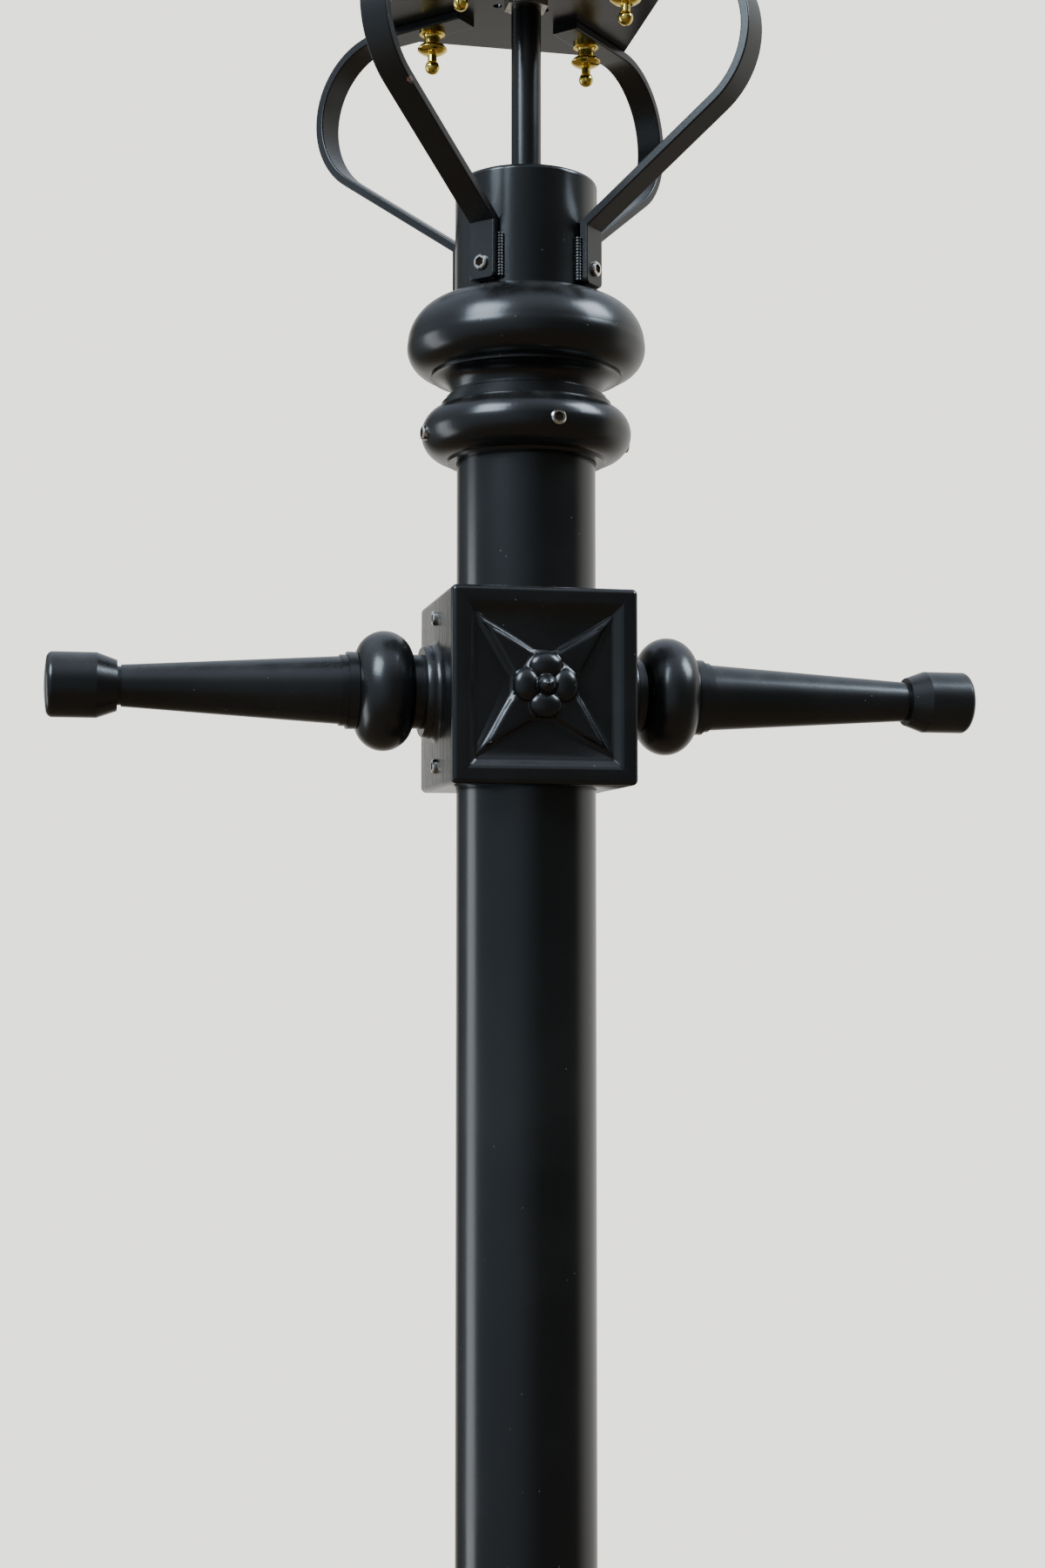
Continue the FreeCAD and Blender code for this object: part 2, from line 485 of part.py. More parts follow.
def cut_out_pieces():
    """The supply cut-out on its board, and the earth stud, inside the pedestal."""
    rear = "(case_side / 2 - case_wall)"
    foot = CASE_FOOT + " + board_up"
    board = new_body("cut_out_board")
    block(board, ["board_wide", "board_thick", "board_tall"], ("-board_wide / 2", rear + " - board_thick", foot))
    soften(board, "board_round", lambda e: straight(e) and abs(e.Curve.Direction.y) > 0.99)

    box = new_body("cut_out_box")
    face = "(%s - board_thick - fuse_deep)" % rear
    low = foot + " + board_tall - fuse_tall - fuse_down"
    block(box, ["fuse_wide", "fuse_deep", "fuse_tall"], ("-fuse_wide / 2", face, low))
    soften(box, "board_round", upright)
    block(box, ["fuse_wide - 2 * fuse_wall", "fuse_deep - fuse_back", "fuse_tall - 2 * fuse_wall"],
          ("-fuse_wide / 2 + fuse_wall", face, low + " + fuse_wall"), cut=True)
    gland = ("0", face + " + fuse_deep / 2", low + " + fuse_down - gland_drop")
    rod(box, "gland_dia", "gland_long", gland, cut=True)

    lid = new_body("cut_out_lid")
    block(lid, ["fuse_wide", "lid_deep", "fuse_tall"], ("-fuse_wide / 2", face + " - lid_deep", low))
    soften(lid, "lid_round", lambda e: near(e.BoundBox.YMax, face + " - lid_deep"))

    stud = new_body("earth_stud")
    level = CASE_FOOT + " + stud_up"
    washer = "-%s + stud_out / 2" % rear
    rod(stud, "screw_dia", "stud_out", ("-" + rear, "0", level), (1, 0, 0))
    rod(stud, "2 * screw_dia", "stud_washer", (washer, "0", level), (1, 0, 0))
    pad(stud, hexagon("stud_nut_wide"), "stud_nut_tall", washer + " + stud_washer", "YZ_Plane", shift=("0", level))


# ---------------------------------------------------------------- post
def post_pieces():
    turned("column_tube", oblong(TUBE_BORE, TUBE_FOOT, TUBE_R, SLEEVE_FOOT))
    bore = "(tube_od / 2 - tube_wall - slip)"
    turned("spigot_tube", oblong(bore + " - spigot_wall", SLEEVE_FOOT + " - spigot_sink", bore,
                                 SLEEVE_TOP + " - sleeve_cap_thick"))


# ---------------------------------------------------------------- ladder block and arms
def star(flank):
    """Four arms that reach for the panel's corners, each valley a round bend, drawn in by a flank."""
    waist = "(star_waist - %s)" % flank
    bend = "(star_bend + %s)" % flank
    tip = "(%s + %s * (1 - 1 / cos(star_slant))) / (1 - tan(star_slant))" % (waist, bend)
    side = "(%s * sin(star_slant))" % bend
    out = "(%s + %s * (1 - cos(star_slant)))" % (waist, bend)
    rise = "%s * (1 - cos(star_slant))" % bend
    away = {"side": side, "-side": "-" + side, "out": out, "-out": "-" + out, "tip": tip}
    away["-tip"] = "-(" + tip + ")"
    turns = [("side", "out", "-side", "out", "-tip", "tip"), ("-out", "side", "-out", "-side", "-tip", "-tip"),
             ("-side", "-out", "side", "-out", "tip", "-tip"), ("out", "-side", "out", "side", "tip", "tip")]
    path = []
    for x1, y1, x2, y2, x3, y3 in turns:
        path += [(away[x1], away[y1]), (away[x2], away[y2], rise), (away[x3], away[y3])]
    return path


def ladder_block():
    body = new_body("ladder_block", lifted("block_level"))
    half = HALF_BLOCK
    floor = HALF_BLOCK + " - relief_deep"
    rim = "(%s - relief_border)" % HALF_BLOCK
    high_rim = "(block_tall / 2 - relief_border)"
    low_rim = "(%s - relief_slope)" % rim
    low_high_rim = "(%s - relief_slope)" % high_rim
    pad(body, square(half), "block_tall", middle=True)
    soften(body, "block_round", straight)
    bed = mm(floor) + mm("star_tall")
    for turn_by in (0, 180):
        sign = "" if turn_by == 0 else "-"
        loft(body, [(oblong("-" + rim, "-" + high_rim, rim, high_rim), sign + "(%s)" % half),
                    (oblong("-" + low_rim, "-" + low_high_rim, low_rim, low_high_rim), sign + "(%s)" % floor)],
             "XZ_Plane", cut=True)
        loft(body, [(star("0"), sign + "(%s - star_root)" % floor),
                    (star("star_flank"), sign + "(%s + star_tall)" % floor)], "XZ_Plane")
        level = -1 if turn_by == 0 else 1
        for petal in range(4):
            angle = math.radians(90 * petal)
            wide, long = ("petal_wide / 2", "petal_long / 2")[::-1 if petal % 2 == 0 else 1]
            at = Vector(mm("petal_ring") * math.cos(angle), level * bed, mm("petal_ring") * math.sin(angle))
            dome(body, "petal_tall", wide, long, at)
        dome(body, "button_tall", "button_dia / 2", "button_dia / 2", Vector(0, level * bed, 0))
        dome(body, "tip_tall", "tip_dia / 2", "tip_dia / 2", Vector(0, level * bed, 0))
    for way in ("", "-"):
        boss = [(half + " + boss_long", "0"), (half + " + boss_long", "boss_dia / 2 - boss_edge"),
                (half + " + boss_long - boss_edge", "boss_dia / 2"), (half + " + boss_round", "boss_dia / 2"),
                (half, "boss_dia / 2 + boss_round", way + "boss_round * (1 - cos(45))")]
        path = [(way + "(" + corner[0] + ")", *corner[1:]) for corner in boss]
        turn(body, [("0", "0"), *path, ("0", "boss_dia / 2 + boss_round")], "H_Axis")
    rod(body, "tube_od + block_slip", "2 * block_tall", ("0", "0", "-block_tall"), cut=True)
    for height, dia in (("block_screw_pitch / 2", SCREW_HOLE), ("-block_screw_pitch / 2", SCREW_HOLE),
                        ("0", "stud_dia + 2 * screw_slip")):
        rod(body, dia, "4 * " + half, ("-2 * " + half, "0", height), (1, 0, 0), cut=True)


def dome(body, tall, across, up, at):
    """A rounded petal or button that stands out of a panel."""
    made = body.newObject("PartDesign::AdditiveEllipsoid", "dome")
    made.Placement = Placement(at, Rotation(Vector(1, 0, 0), 90))
    for name, text in (("Radius1", tall), ("Radius2", across), ("Radius3", up)):
        made.setExpression(name, linked(text))
    made.Angle1 = -90
    made.Angle2 = 90
    made.Angle3 = 360


def ladder_arms():
    root = "(%s + boss_long)" % HALF_BLOCK
    bead = "(%s + arm_neck_long)" % root
    ring = "(%s + bead_long)" % bead
    step = "(%s + ring_long)" % ring
    taper = "(%s + step_long)" % step
    knob = "(arm_reach - knob_long)"
    path = [(root, "0"), (root, "arm_neck_dia / 2"), (bead, "arm_neck_dia / 2"),
            (ring, "bead_end_dia / 2", "(bead_dia - (arm_neck_dia + bead_end_dia) / 2) / 2"),
            (ring, "ring_dia / 2"), (step, "ring_dia / 2"), (step, "step_dia / 2"), (taper, "step_dia / 2"),
            (taper, "taper_big / 2"), (knob + " - groove_long", "taper_small / 2"),
            (knob + " - groove_long", "groove_dia / 2"), (knob, "groove_dia / 2"), (knob, "knob_root_dia / 2"),
            (knob + " + knob_cone", "knob_dia / 2"), ("arm_reach - knob_round", "knob_dia / 2"),
            ("arm_reach - knob_dome", "knob_dia / 2 - knob_round", "(knob_round - knob_dome) * (1 - cos(45))"),
            ("arm_reach", "0", dome_rise("knob_dia / 2 - knob_round", "knob_dome"))]
    for label, angle in (("ladder_arm_right", 0), ("ladder_arm_left", 180)):
        body = new_body(label, lifted("block_level") * spun(angle))
        turn(body, path, "H_Axis")
        rod(body, "stud_dia + 2 * screw_slip", "stud_deep", (root, "0", "0"), (1, 0, 0), cut=True)
    studs = new_body("ladder_arm_studs", lifted("block_level"))
    end = "(%s + stud_deep - stud_gap)" % root
    start = "(%s - stud_long)" % end
    stud = turn(studs, [(start, "0"), (end, "0"), (end, "stud_dia / 2 - stud_edge"),
                        (end + " - stud_edge", "stud_dia / 2"), (start + " + stud_edge", "stud_dia / 2"),
                        (start, "stud_dia / 2 - stud_edge")], "H_Axis")
    around(studs, [stud], 2)
    pitch = "block_screw_pitch / 2"
    grub_screws("ladder_block_screws", "tube_od / 2 + screw_slip", HALF_BLOCK + " + screw_proud",
                ["block_level + " + pitch, "block_level - " + pitch], 2)


# ---------------------------------------------------------------- collar
def collar_pieces():
    body = new_body("column_collar", lifted(COLLAR_FOOT) * spun(mm("collar_turn")))
    low, lists = "low_bead_tall", "low_bead_tall + list_tall"
    waist = lists + " + under_tall"
    cove = waist + " + waist_tall"
    high = cove + " + cove_tall + cove_list"
    step = "collar_tall - sleeve_sink"
    sleeve_hole = SLEEVE_R + " + slip"
    edge = "tube_od / 2 + "
    turn(body, [(TUBE_HOLE, "0"), (edge + "collar_lip - lip_edge", "0"), (edge + "collar_lip", "lip_tall"),
                (edge + "low_top_out", low, "-(low_bead_out - (collar_lip + low_top_out) / 2)"),
                (edge + "list_out", low + " + list_slope"), (edge + "list_out", lists),
                (edge + "under_out", lists),
                (edge + "under_out", waist), (edge + "waist_out", waist + " + waist_tall / 2", "waist_rise"),
                (edge + "waist_out", cove), (edge + "cove_out", cove + " + cove_tall", "cove_rise"),
                (edge + "cove_out", high), (edge + "high_foot_out", high),
                (edge + "high_bead_out", high + " + high_bead_up", "-high_bead_rise"),
                (edge + "high_top_out", "collar_tall", "-high_top_rise"), (sleeve_hole, "collar_tall"),
                (sleeve_hole, step), (TUBE_HOLE, step)])
    screw_holes(body, ["collar_screw_up"], "2 * " + LOW_BEAD_R, 4)
    head = LOW_BEAD_R + " + screw_proud - collar_screw_in"
    grub_screws("collar_grub_screws", "tube_od / 2 + screw_slip", head,
                [COLLAR_FOOT + " + collar_screw_up"], 4, spun(mm("collar_turn")))


# ---------------------------------------------------------------- lantern bracket
STRAP_IN = "(%s + strap_gap)" % SLEEVE_R
STRAP_FOOT = COLLAR_TOP + " + strap_lift"


def strap_path():
    """The strap's side view: a foot on the sleeve, a straight slope, and a bend over to the plate."""
    top = "(%s)" % PLATE_UNDER
    hub = "(%s - strap_bend)" % top
    path = [(STRAP_IN + " + strap_thick", STRAP_FOOT)]

    def side(bend, foot):
        at = "(strap_bend_at + %s * sin(strap_slant))" % bend
        level = "(%s - %s * cos(strap_slant))" % (hub, bend)
        return [(foot, "%s - (%s - %s) * tan(strap_slant)" % (level, at, foot)), (at, level)]

    outer = side("strap_bend", "(%s + strap_thick)" % STRAP_IN)
    inner = side("(strap_bend - strap_thick)", STRAP_IN)
    rise = "(1 - sin(strap_slant / 2))"
    path += outer
    path += [("strap_bend_at", top, "-strap_bend * " + rise), ("strap_end", top)]
    path += [("strap_end", top + " - strap_thick"), ("strap_bend_at", top + " - strap_thick")]
    path += [(*inner[1], "(strap_bend - strap_thick) * " + rise), inner[0], (STRAP_IN, STRAP_FOOT)]
    return path


def bracket_pieces():
    sleeve = new_body("bracket_sleeve", spun(45))
    turn(sleeve, [(TUBE_BORE, SLEEVE_FOOT), (SLEEVE_R, SLEEVE_FOOT), (SLEEVE_R, SLEEVE_TOP + " - sleeve_round"),
                  (SLEEVE_R + " - sleeve_round", SLEEVE_TOP, "-sleeve_round * (1 - cos(45))"),
                  (TUBE_BORE, SLEEVE_TOP)])
    screw_up = STRAP_FOOT + " + foot_screw_up"
    screw_holes(sleeve, [screw_up], "2 * " + SLEEVE_R, 4)
    cap = new_body("sleeve_cap")
    rim = TUBE_BORE + " - sleeve_cap_slip"
    low = SLEEVE_TOP + " - sleeve_cap_thick"
    rise = "-" + dome_rise(rim, "sleeve_dome")
    turn(cap, [("0", low), (rim, low), (rim, SLEEVE_TOP), ("0", SLEEVE_TOP + " + sleeve_dome", rise)])
    rod(cap, "pipe_od + 2 * pipe_slip", "2 * sleeve_cap_thick", ("0", "0", low), cut=True)

    for corner, angle in CORNERS.items():
        strap = new_body("strap_" + corner, spun(angle))
        pad(strap, strap_path(), "strap_wide", role="XZ_Plane", middle=True)
        soften(strap, "strap_corner", lambda e: e.BoundBox.YLength < 0.01 and level_at(e, STRAP_FOOT))
        soften(strap, "strap_round", lambda e: abs(abs(e.BoundBox.YMin) - mm("strap_wide / 2")) < 0.01
               and e.BoundBox.YLength < 0.01)
        rod(strap, SCREW_HOLE, "2 * " + SLEEVE_R, ("0", "0", screw_up), (1, 0, 0), cut=True)
        rod(strap, "drop_screw_dia + 2 * screw_slip", "4 * strap_thick",
            ("drop_pitch / sqrt(2)", "0", PLATE_UNDER + " - 3 * strap_thick"), cut=True)
    grub_screws("strap_grub_screws", "tube_od / 2 - tube_wall - slip + screw_slip + strap_gap",
                STRAP_IN + " + strap_thick + screw_proud", [screw_up], 4, spun(45))

    welds = new_body("strap_welds", spun(45))
    beads = []
    for side in (1, -1):
        edge = "%d * (strap_wide / 2)" % side
        far = "%d * (strap_wide / 2 + weld_leg)" % side
        path = [(STRAP_IN + " + weld_leg - weld_thin", edge),
                ("sqrt(%s^2 - (strap_wide / 2)^2) + weld_gap" % SLEEVE_R, edge),
                ("sqrt(%s^2 - (strap_wide / 2 + weld_leg)^2) + weld_toe" % SLEEVE_R, far)]
        beads.append(pad(welds, path if side < 0 else path[::-1], "weld_long", STRAP_FOOT + " + weld_up"))
    around(welds, beads)

    pipe = new_body("supply_pipe")
    turn(pipe, oblong("pipe_od / 2 - pipe_wall", SLEEVE_TOP + " - pipe_sink",
                      "pipe_od / 2", PLATE_TOP + " + pipe_up"))
    nuts = new_body("pipe_lock_nuts")
    for foot in (PLATE_UNDER + " - pipe_nut_tall", PLATE_TOP):
        pad(nuts, hexagon("pipe_nut_wide"), "pipe_nut_tall", foot)
    low = PLATE_UNDER + " - 2 * pipe_nut_tall"
    rod(nuts, "pipe_od + 2 * screw_slip", "4 * pipe_nut_tall", ("0", "0", low), cut=True)

    under = "(%s - strap_thick)" % PLATE_UNDER
    radial = "drop_pitch / sqrt(2)"
    drops = new_body("brass_drops", spun(45))
    ball, stem = "(drop_ball_dia / 2)", "(drop_stem_dia / 2)"
    stem_end = "(drop_long - %s - sqrt(%s^2 - %s^2))" % (ball, ball, stem)
    half_chord = "(%s^2 + (drop_long - %s)^2) / 4" % (stem, stem_end)
    drop = turn(drops, [("0", "drop_screw_up + strap_thick"), ("0", "-drop_long"),
                        (stem, "-" + stem_end, "-(%s - sqrt(%s^2 - %s))" % (ball, ball, half_chord)),
                        (stem, "-disc_end"), ("disc_dia / 2 - disc_edge", "-(disc_at + disc_edge)", "-disc_rise"),
                        ("disc_dia / 2 - disc_edge", "-(disc_at - disc_edge)", "-disc_bulge"),
                        ("drop_neck_dia / 2", "-drop_neck_at", "-drop_neck_rise"),
                        ("drop_neck_dia / 2", "-(flange_tall + flange_lip)"),
                        ("flange_dia / 2", "-flange_tall / 2", "flange_rise"), ("flange_dia / 2", "0"),
                        ("drop_screw_dia / 2", "0"), ("drop_screw_dia / 2", "drop_screw_up + strap_thick")],
                shift=(radial, under))
    around(drops, [drop])
    nuts = new_body("drop_nuts", spun(45))
    nut = pad(nuts, hexagon("drop_nut_wide"), "drop_nut_tall", PLATE_TOP, shift=(radial, "0"))
    low = PLATE_TOP + " - drop_nut_tall / 2"
    hole = rod(nuts, "drop_screw_dia + 2 * screw_slip", "2 * drop_nut_tall", (radial, "0", low), cut=True)
    around(nuts, [nut, hole])


# ---------------------------------------------------------------- lantern
HALF_PLATE = "(plate_side / 2)"
LEAN = "((top_side - plate_side) / 2 / glass_tall)"
SLANT = "(glass_tall * sqrt(1 + %s^2))" % LEAN
SPREAD = "((top_side - plate_side) / 2 / %s)" % SLANT


def wall(angle):
    """The frame of one lantern wall: origin mid-way along its foot, X along it, Y up its slope, Z outwards."""
    lean = math.degrees(math.atan(mm(LEAN)))
    foot = Placement(Vector(0, -mm(HALF_PLATE), mm(PLATE_TOP)), Rotation(Vector(1, 0, 0), 90 + lean))
    return spun(angle) * foot


def wall_outline(inset, low, high):
    """A trapezoid on a wall, parallel to its leaning edges, inset from them, between two slope distances."""
    root = "sqrt(1 + %s^2)" % SPREAD
    half = "(%s + %s * (%%s) - (%s) * %s)" % (HALF_PLATE, SPREAD, inset, root)
    return [("-" + half % low, low), (half % low, low), (half % high, high), ("-" + half % high, high)]


def ring_outline(inset, height):
    """A square round the lantern at a height above the plate, inset from its outer faces."""
    half = "(%s + %s * (%s) - (%s))" % (HALF_PLATE, LEAN, height, inset)
    return square(half), "(%s) + (%s)" % (PLATE_TOP, height)


def rail(label, low, high):
    body = new_body(label)
    outer = "bar_thick + rail_slip"
    inner = "bar_thick + rail_slip + rail_thick"
    loft(body, [ring_outline(outer, low), ring_outline(outer, high)])
    loft(body, [ring_outline(inner, low), ring_outline(inner, high)], cut=True)
    return body


def corner_bar(label, angle):
    """An angle bar that leans out along one corner, its two legs on the neighbouring walls."""
    body = new_body(label, spun(angle - 315))
    levels = []
    for height in ("0", "glass_tall"):
        edge = "(%s + %s * %s)" % (HALF_PLATE, LEAN, height)
        leg = "(%s - bar_leg)" % edge
        thin = "(%s - bar_thick)" % edge
        levels.append(([(edge, "-" + edge), (edge, "-" + leg), (thin, "-" + leg), (thin, "-" + thin),
                        (leg, "-" + thin), (leg, "-" + edge)], "(%s) + %s" % (PLATE_TOP, height)))
    loft(body, levels)
    return body


def hinge_line(along):
    """The frame of a point on the lantern door's hinge line: Z along the line, X to the door, Y inwards."""
    spread = mm(SPREAD)
    out = mm("barrel_dia / 2 + door_gap - door_inset") * math.hypot(1, spread)
    tilt = Rotation(UP, math.degrees(math.atan(spread))) * Rotation(Vector(1, 0, 0), -90)
    corner = -(mm(HALF_PLATE) + spread * mm(along))
    return wall(0) * Placement(Vector(corner - out, mm(along), mm("door_gap + barrel_dia / 2")), tilt)


def fitting(body, kind, place, **sizes):
    """A primitive set at a placement of the whole lamp inside a body that has a placement of its own."""
    made = body.newObject("PartDesign::" + kind, "fitting")
    made.Placement = body.Placement.inverse() * place
    for name, text in sizes.items():
        made.setExpression(name, linked(text))
    return made


def lantern_barrel(body, foot, web_at, web_wide, web_deep):
    """A knuckle of the lantern door's hinge, with a web to what carries it."""
    place = hinge_line(foot)
    web = Placement(Vector(mm(web_at[0]), mm(web_at[1]), 0), Rotation())
    fitting(body, "AdditiveCylinder", place, Radius="barrel_dia / 2", Height="barrel_long")
    fitting(body, "AdditiveBox", place * web, Length=web_wide, Width=web_deep, Height="barrel_long")
    fitting(body, "SubtractiveCylinder", place, Radius="pin_dia / 2 + pin_slip", Height="barrel_long")


BARRELS = ("barrel_in", SLANT + " - barrel_in - 2 * barrel_long")
DOOR_LOW = "bar_thick"
DOOR_HIGH = SLANT + " - 2 * bar_thick"
LATCH_UP = "(%s / 2)" % SLANT
LATCH_ACROSS = "(%s + %s * %s - latch_at * sqrt(1 + %s^2))" % (HALF_PLATE, SPREAD, LATCH_UP, SPREAD)


def lantern_frame():
    plate = new_body("lantern_base_plate")
    pad(plate, square(HALF_PLATE), "plate_thick", PLATE_UNDER)
    soften(plate, "plate_round", upright)
    low = PLATE_UNDER + " - plate_thick"
    rod(plate, "pipe_od + 2 * pipe_slip", "3 * plate_thick", ("0", "0", low), cut=True)
    bolt_hole = ("drop_screw_dia + 2 * screw_slip", "drop_pitch / 2")
    for dia, spot in (bolt_hole, ("drain_dia", "drain_ring / sqrt(2)")):
        hole = rod(plate, dia, "3 * plate_thick", (spot, spot, low), cut=True)
        around(plate, [hole])

    rail("lantern_bottom_rail", "0", "rail_tall")
    rail("lantern_top_rail", "glass_tall - rail_tall", "glass_tall")
    for corner, angle in CORNERS.items():
        bar = corner_bar("corner_bar_" + corner, angle)
        if corner == "front_left":
            for foot in BARRELS:
                web = ("barrel_dia / 2 - barrel_web", "barrel_dia + bar_thick")
                lantern_barrel(bar, foot, ("barrel_web", "0"), *web)
    inset = "2 * pane_slip + bar_thick + pane_thick + pane_clear"
    high = "%s * (1 - (rail_tall + pane_slip + bar_thick) / glass_tall)" % SLANT
    for side, angle in (("right", 90), ("rear", 180), ("left", 270)):
        pane = new_body("glass_pane_" + side, wall(angle))
        pad(pane, wall_outline(inset, "rail_tall + pane_slip", high), "pane_thick",
            "-(bar_thick / sqrt(1 + %s^2) + pane_slip / 2 + pane_thick)" % LEAN)


def lantern_door():
    door = new_body("lantern_door_frame", wall(0))
    pad(door, wall_outline("door_inset", DOOR_LOW, DOOR_HIGH), "door_thick", "door_gap")
    soften(door, "door_round", lambda e: near(e.BoundBox.ZMin, "door_gap + door_thick"))
    inner = (DOOR_LOW + " + door_rail", DOOR_HIGH + " - door_rail")
    pad(door, wall_outline("stile_wide", *inner), "2 * door_thick", "door_gap + door_thick", cut=True)
    back = (inner[0] + " - rebate_lap", inner[1] + " + rebate_lap")
    rebate = wall_outline("stile_wide - rebate_lap", *back)
    pad(door, rebate, "2 * door_thick", "door_gap + rebate_deep", cut=True)
    for foot in BARRELS:
        lantern_barrel(door, foot + " + barrel_long + barrel_gap", ("0", "barrel_dia / 2 - door_thick"),
                       "barrel_dia / 2 + 2 * door_gap + hinge_web", "door_thick")
    start = (LATCH_ACROSS, LATCH_UP, "-door_thick")
    rod(door, "latch_shaft_dia + 2 * latch_slip", "3 * door_thick", start, cut=True)

    glass = new_body("lantern_door_glass", wall(0))
    low, high = back[0] + " + pane_slip", back[1] + " - pane_slip"
    edge = wall_outline("stile_wide - rebate_lap + pane_slip", low, high)
    pad(glass, edge, "pane_thick", "door_gap + glass_seat")

    pins = new_body("lantern_door_hinge_pins")
    below = Placement(Vector(0, 0, -mm("pin_head_tall")), Rotation())
    for foot in BARRELS:
        line = hinge_line(foot)
        reach = "2 * barrel_long + barrel_gap + pin_over"
        fitting(pins, "AdditiveCylinder", line, Radius="pin_dia / 2", Height=reach)
        fitting(pins, "AdditiveCylinder", line * below, Radius="pin_head_dia / 2", Height="pin_head_tall")

    at = Placement(Vector(mm(LATCH_ACROSS), mm(LATCH_UP), 0), Rotation())
    latch = new_body("lantern_door_latch", wall(0) * at)
    face = "(door_gap + door_thick)"
    blade = "-(bar_thick + latch_clear + latch_blade_thick)"
    shaft, knob = "latch_shaft_dia / 2", "latch_knob_dia / 2"
    rose = face + " + latch_rose"
    turn(latch, [("0", blade), (shaft, blade), (shaft, face + " + latch_slip"), (knob, face + " + latch_slip"),
                 (knob, rose), (knob + " - latch_edge", rose + " + latch_edge"), ("0", rose + " + latch_edge")])
    half = "latch_blade_wide / 2"
    shoulder = "latch_blade_long - latch_blade_rise"
    pad(latch, [("-" + half, "-" + half), (half, "-" + half), (half, shoulder),
                ("-" + half, shoulder, "-latch_blade_rise")], "latch_blade_thick", blade)
    grip = "(latch_knob_dia - latch_grip_in)"
    block(latch, ["latch_grip", grip, "latch_knob_tall - latch_edge"],
          ("-latch_grip / 2", "-%s / 2" % grip, face + " + latch_edge"))
    soften(latch, "latch_edge", lambda e: near(e.BoundBox.ZMax, face + " + latch_knob_tall"))


def lamp_pieces():
    seat = PLATE_TOP + " + pipe_nut_tall"
    pipe_top = "pipe_up - pipe_nut_tall + holder_gap"
    socket = "holder_tall - lamp_cap_tall - lamp_cap_proud"
    bore = "pipe_od / 2 + screw_slip"
    well = "lamp_cap_dia / 2 + lamp_cap_slip"
    wide, lip = "holder_dia / 2", "holder_lip / 2"
    holder = new_body("lamp_holder", lifted(seat))
    turn(holder, [(bore, "0"), (lip, "0"), (lip, "holder_lip_tall"),
                  (wide, "holder_lip_tall + holder_lip_slope"),
                  (wide, "holder_tall - holder_edge"), (wide + " - holder_edge", "holder_tall"),
                  (well, "holder_tall"), (well, socket), ("0", socket), ("0", pipe_top), (bore, pipe_top)])
    cap = new_body("lamp_cap", lifted(seat))
    top = "holder_tall + lamp_cap_proud"
    side = "lamp_cap_dia / 2"
    turn(cap, [("0", socket), (side + " - lamp_cap_edge", socket), (side, socket + " + lamp_cap_edge"),
               (side, "holder_tall"), ("globe_neck / 2", "holder_tall + lamp_cap_flare"),
               ("globe_neck / 2", top), ("0", top)])
    globe = new_body("lamp_globe", lifted("%s + %s" % (seat, top)))
    outer, inner = "globe_dia / 2", "(globe_dia / 2 - globe_wall)"
    belly = "globe_tall - globe_dia / 2"
    turn(globe, [("globe_neck / 2 - globe_wall", "0", "-globe_wall"), ("globe_neck / 2", "0"),
                 (outer, belly, "globe_wall"), ("0", "globe_tall", "-globe_dia / 2 * (1 - cos(45))"),
                 ("0", "globe_tall - globe_wall"), (inner, belly, inner + " * (1 - cos(45))")])


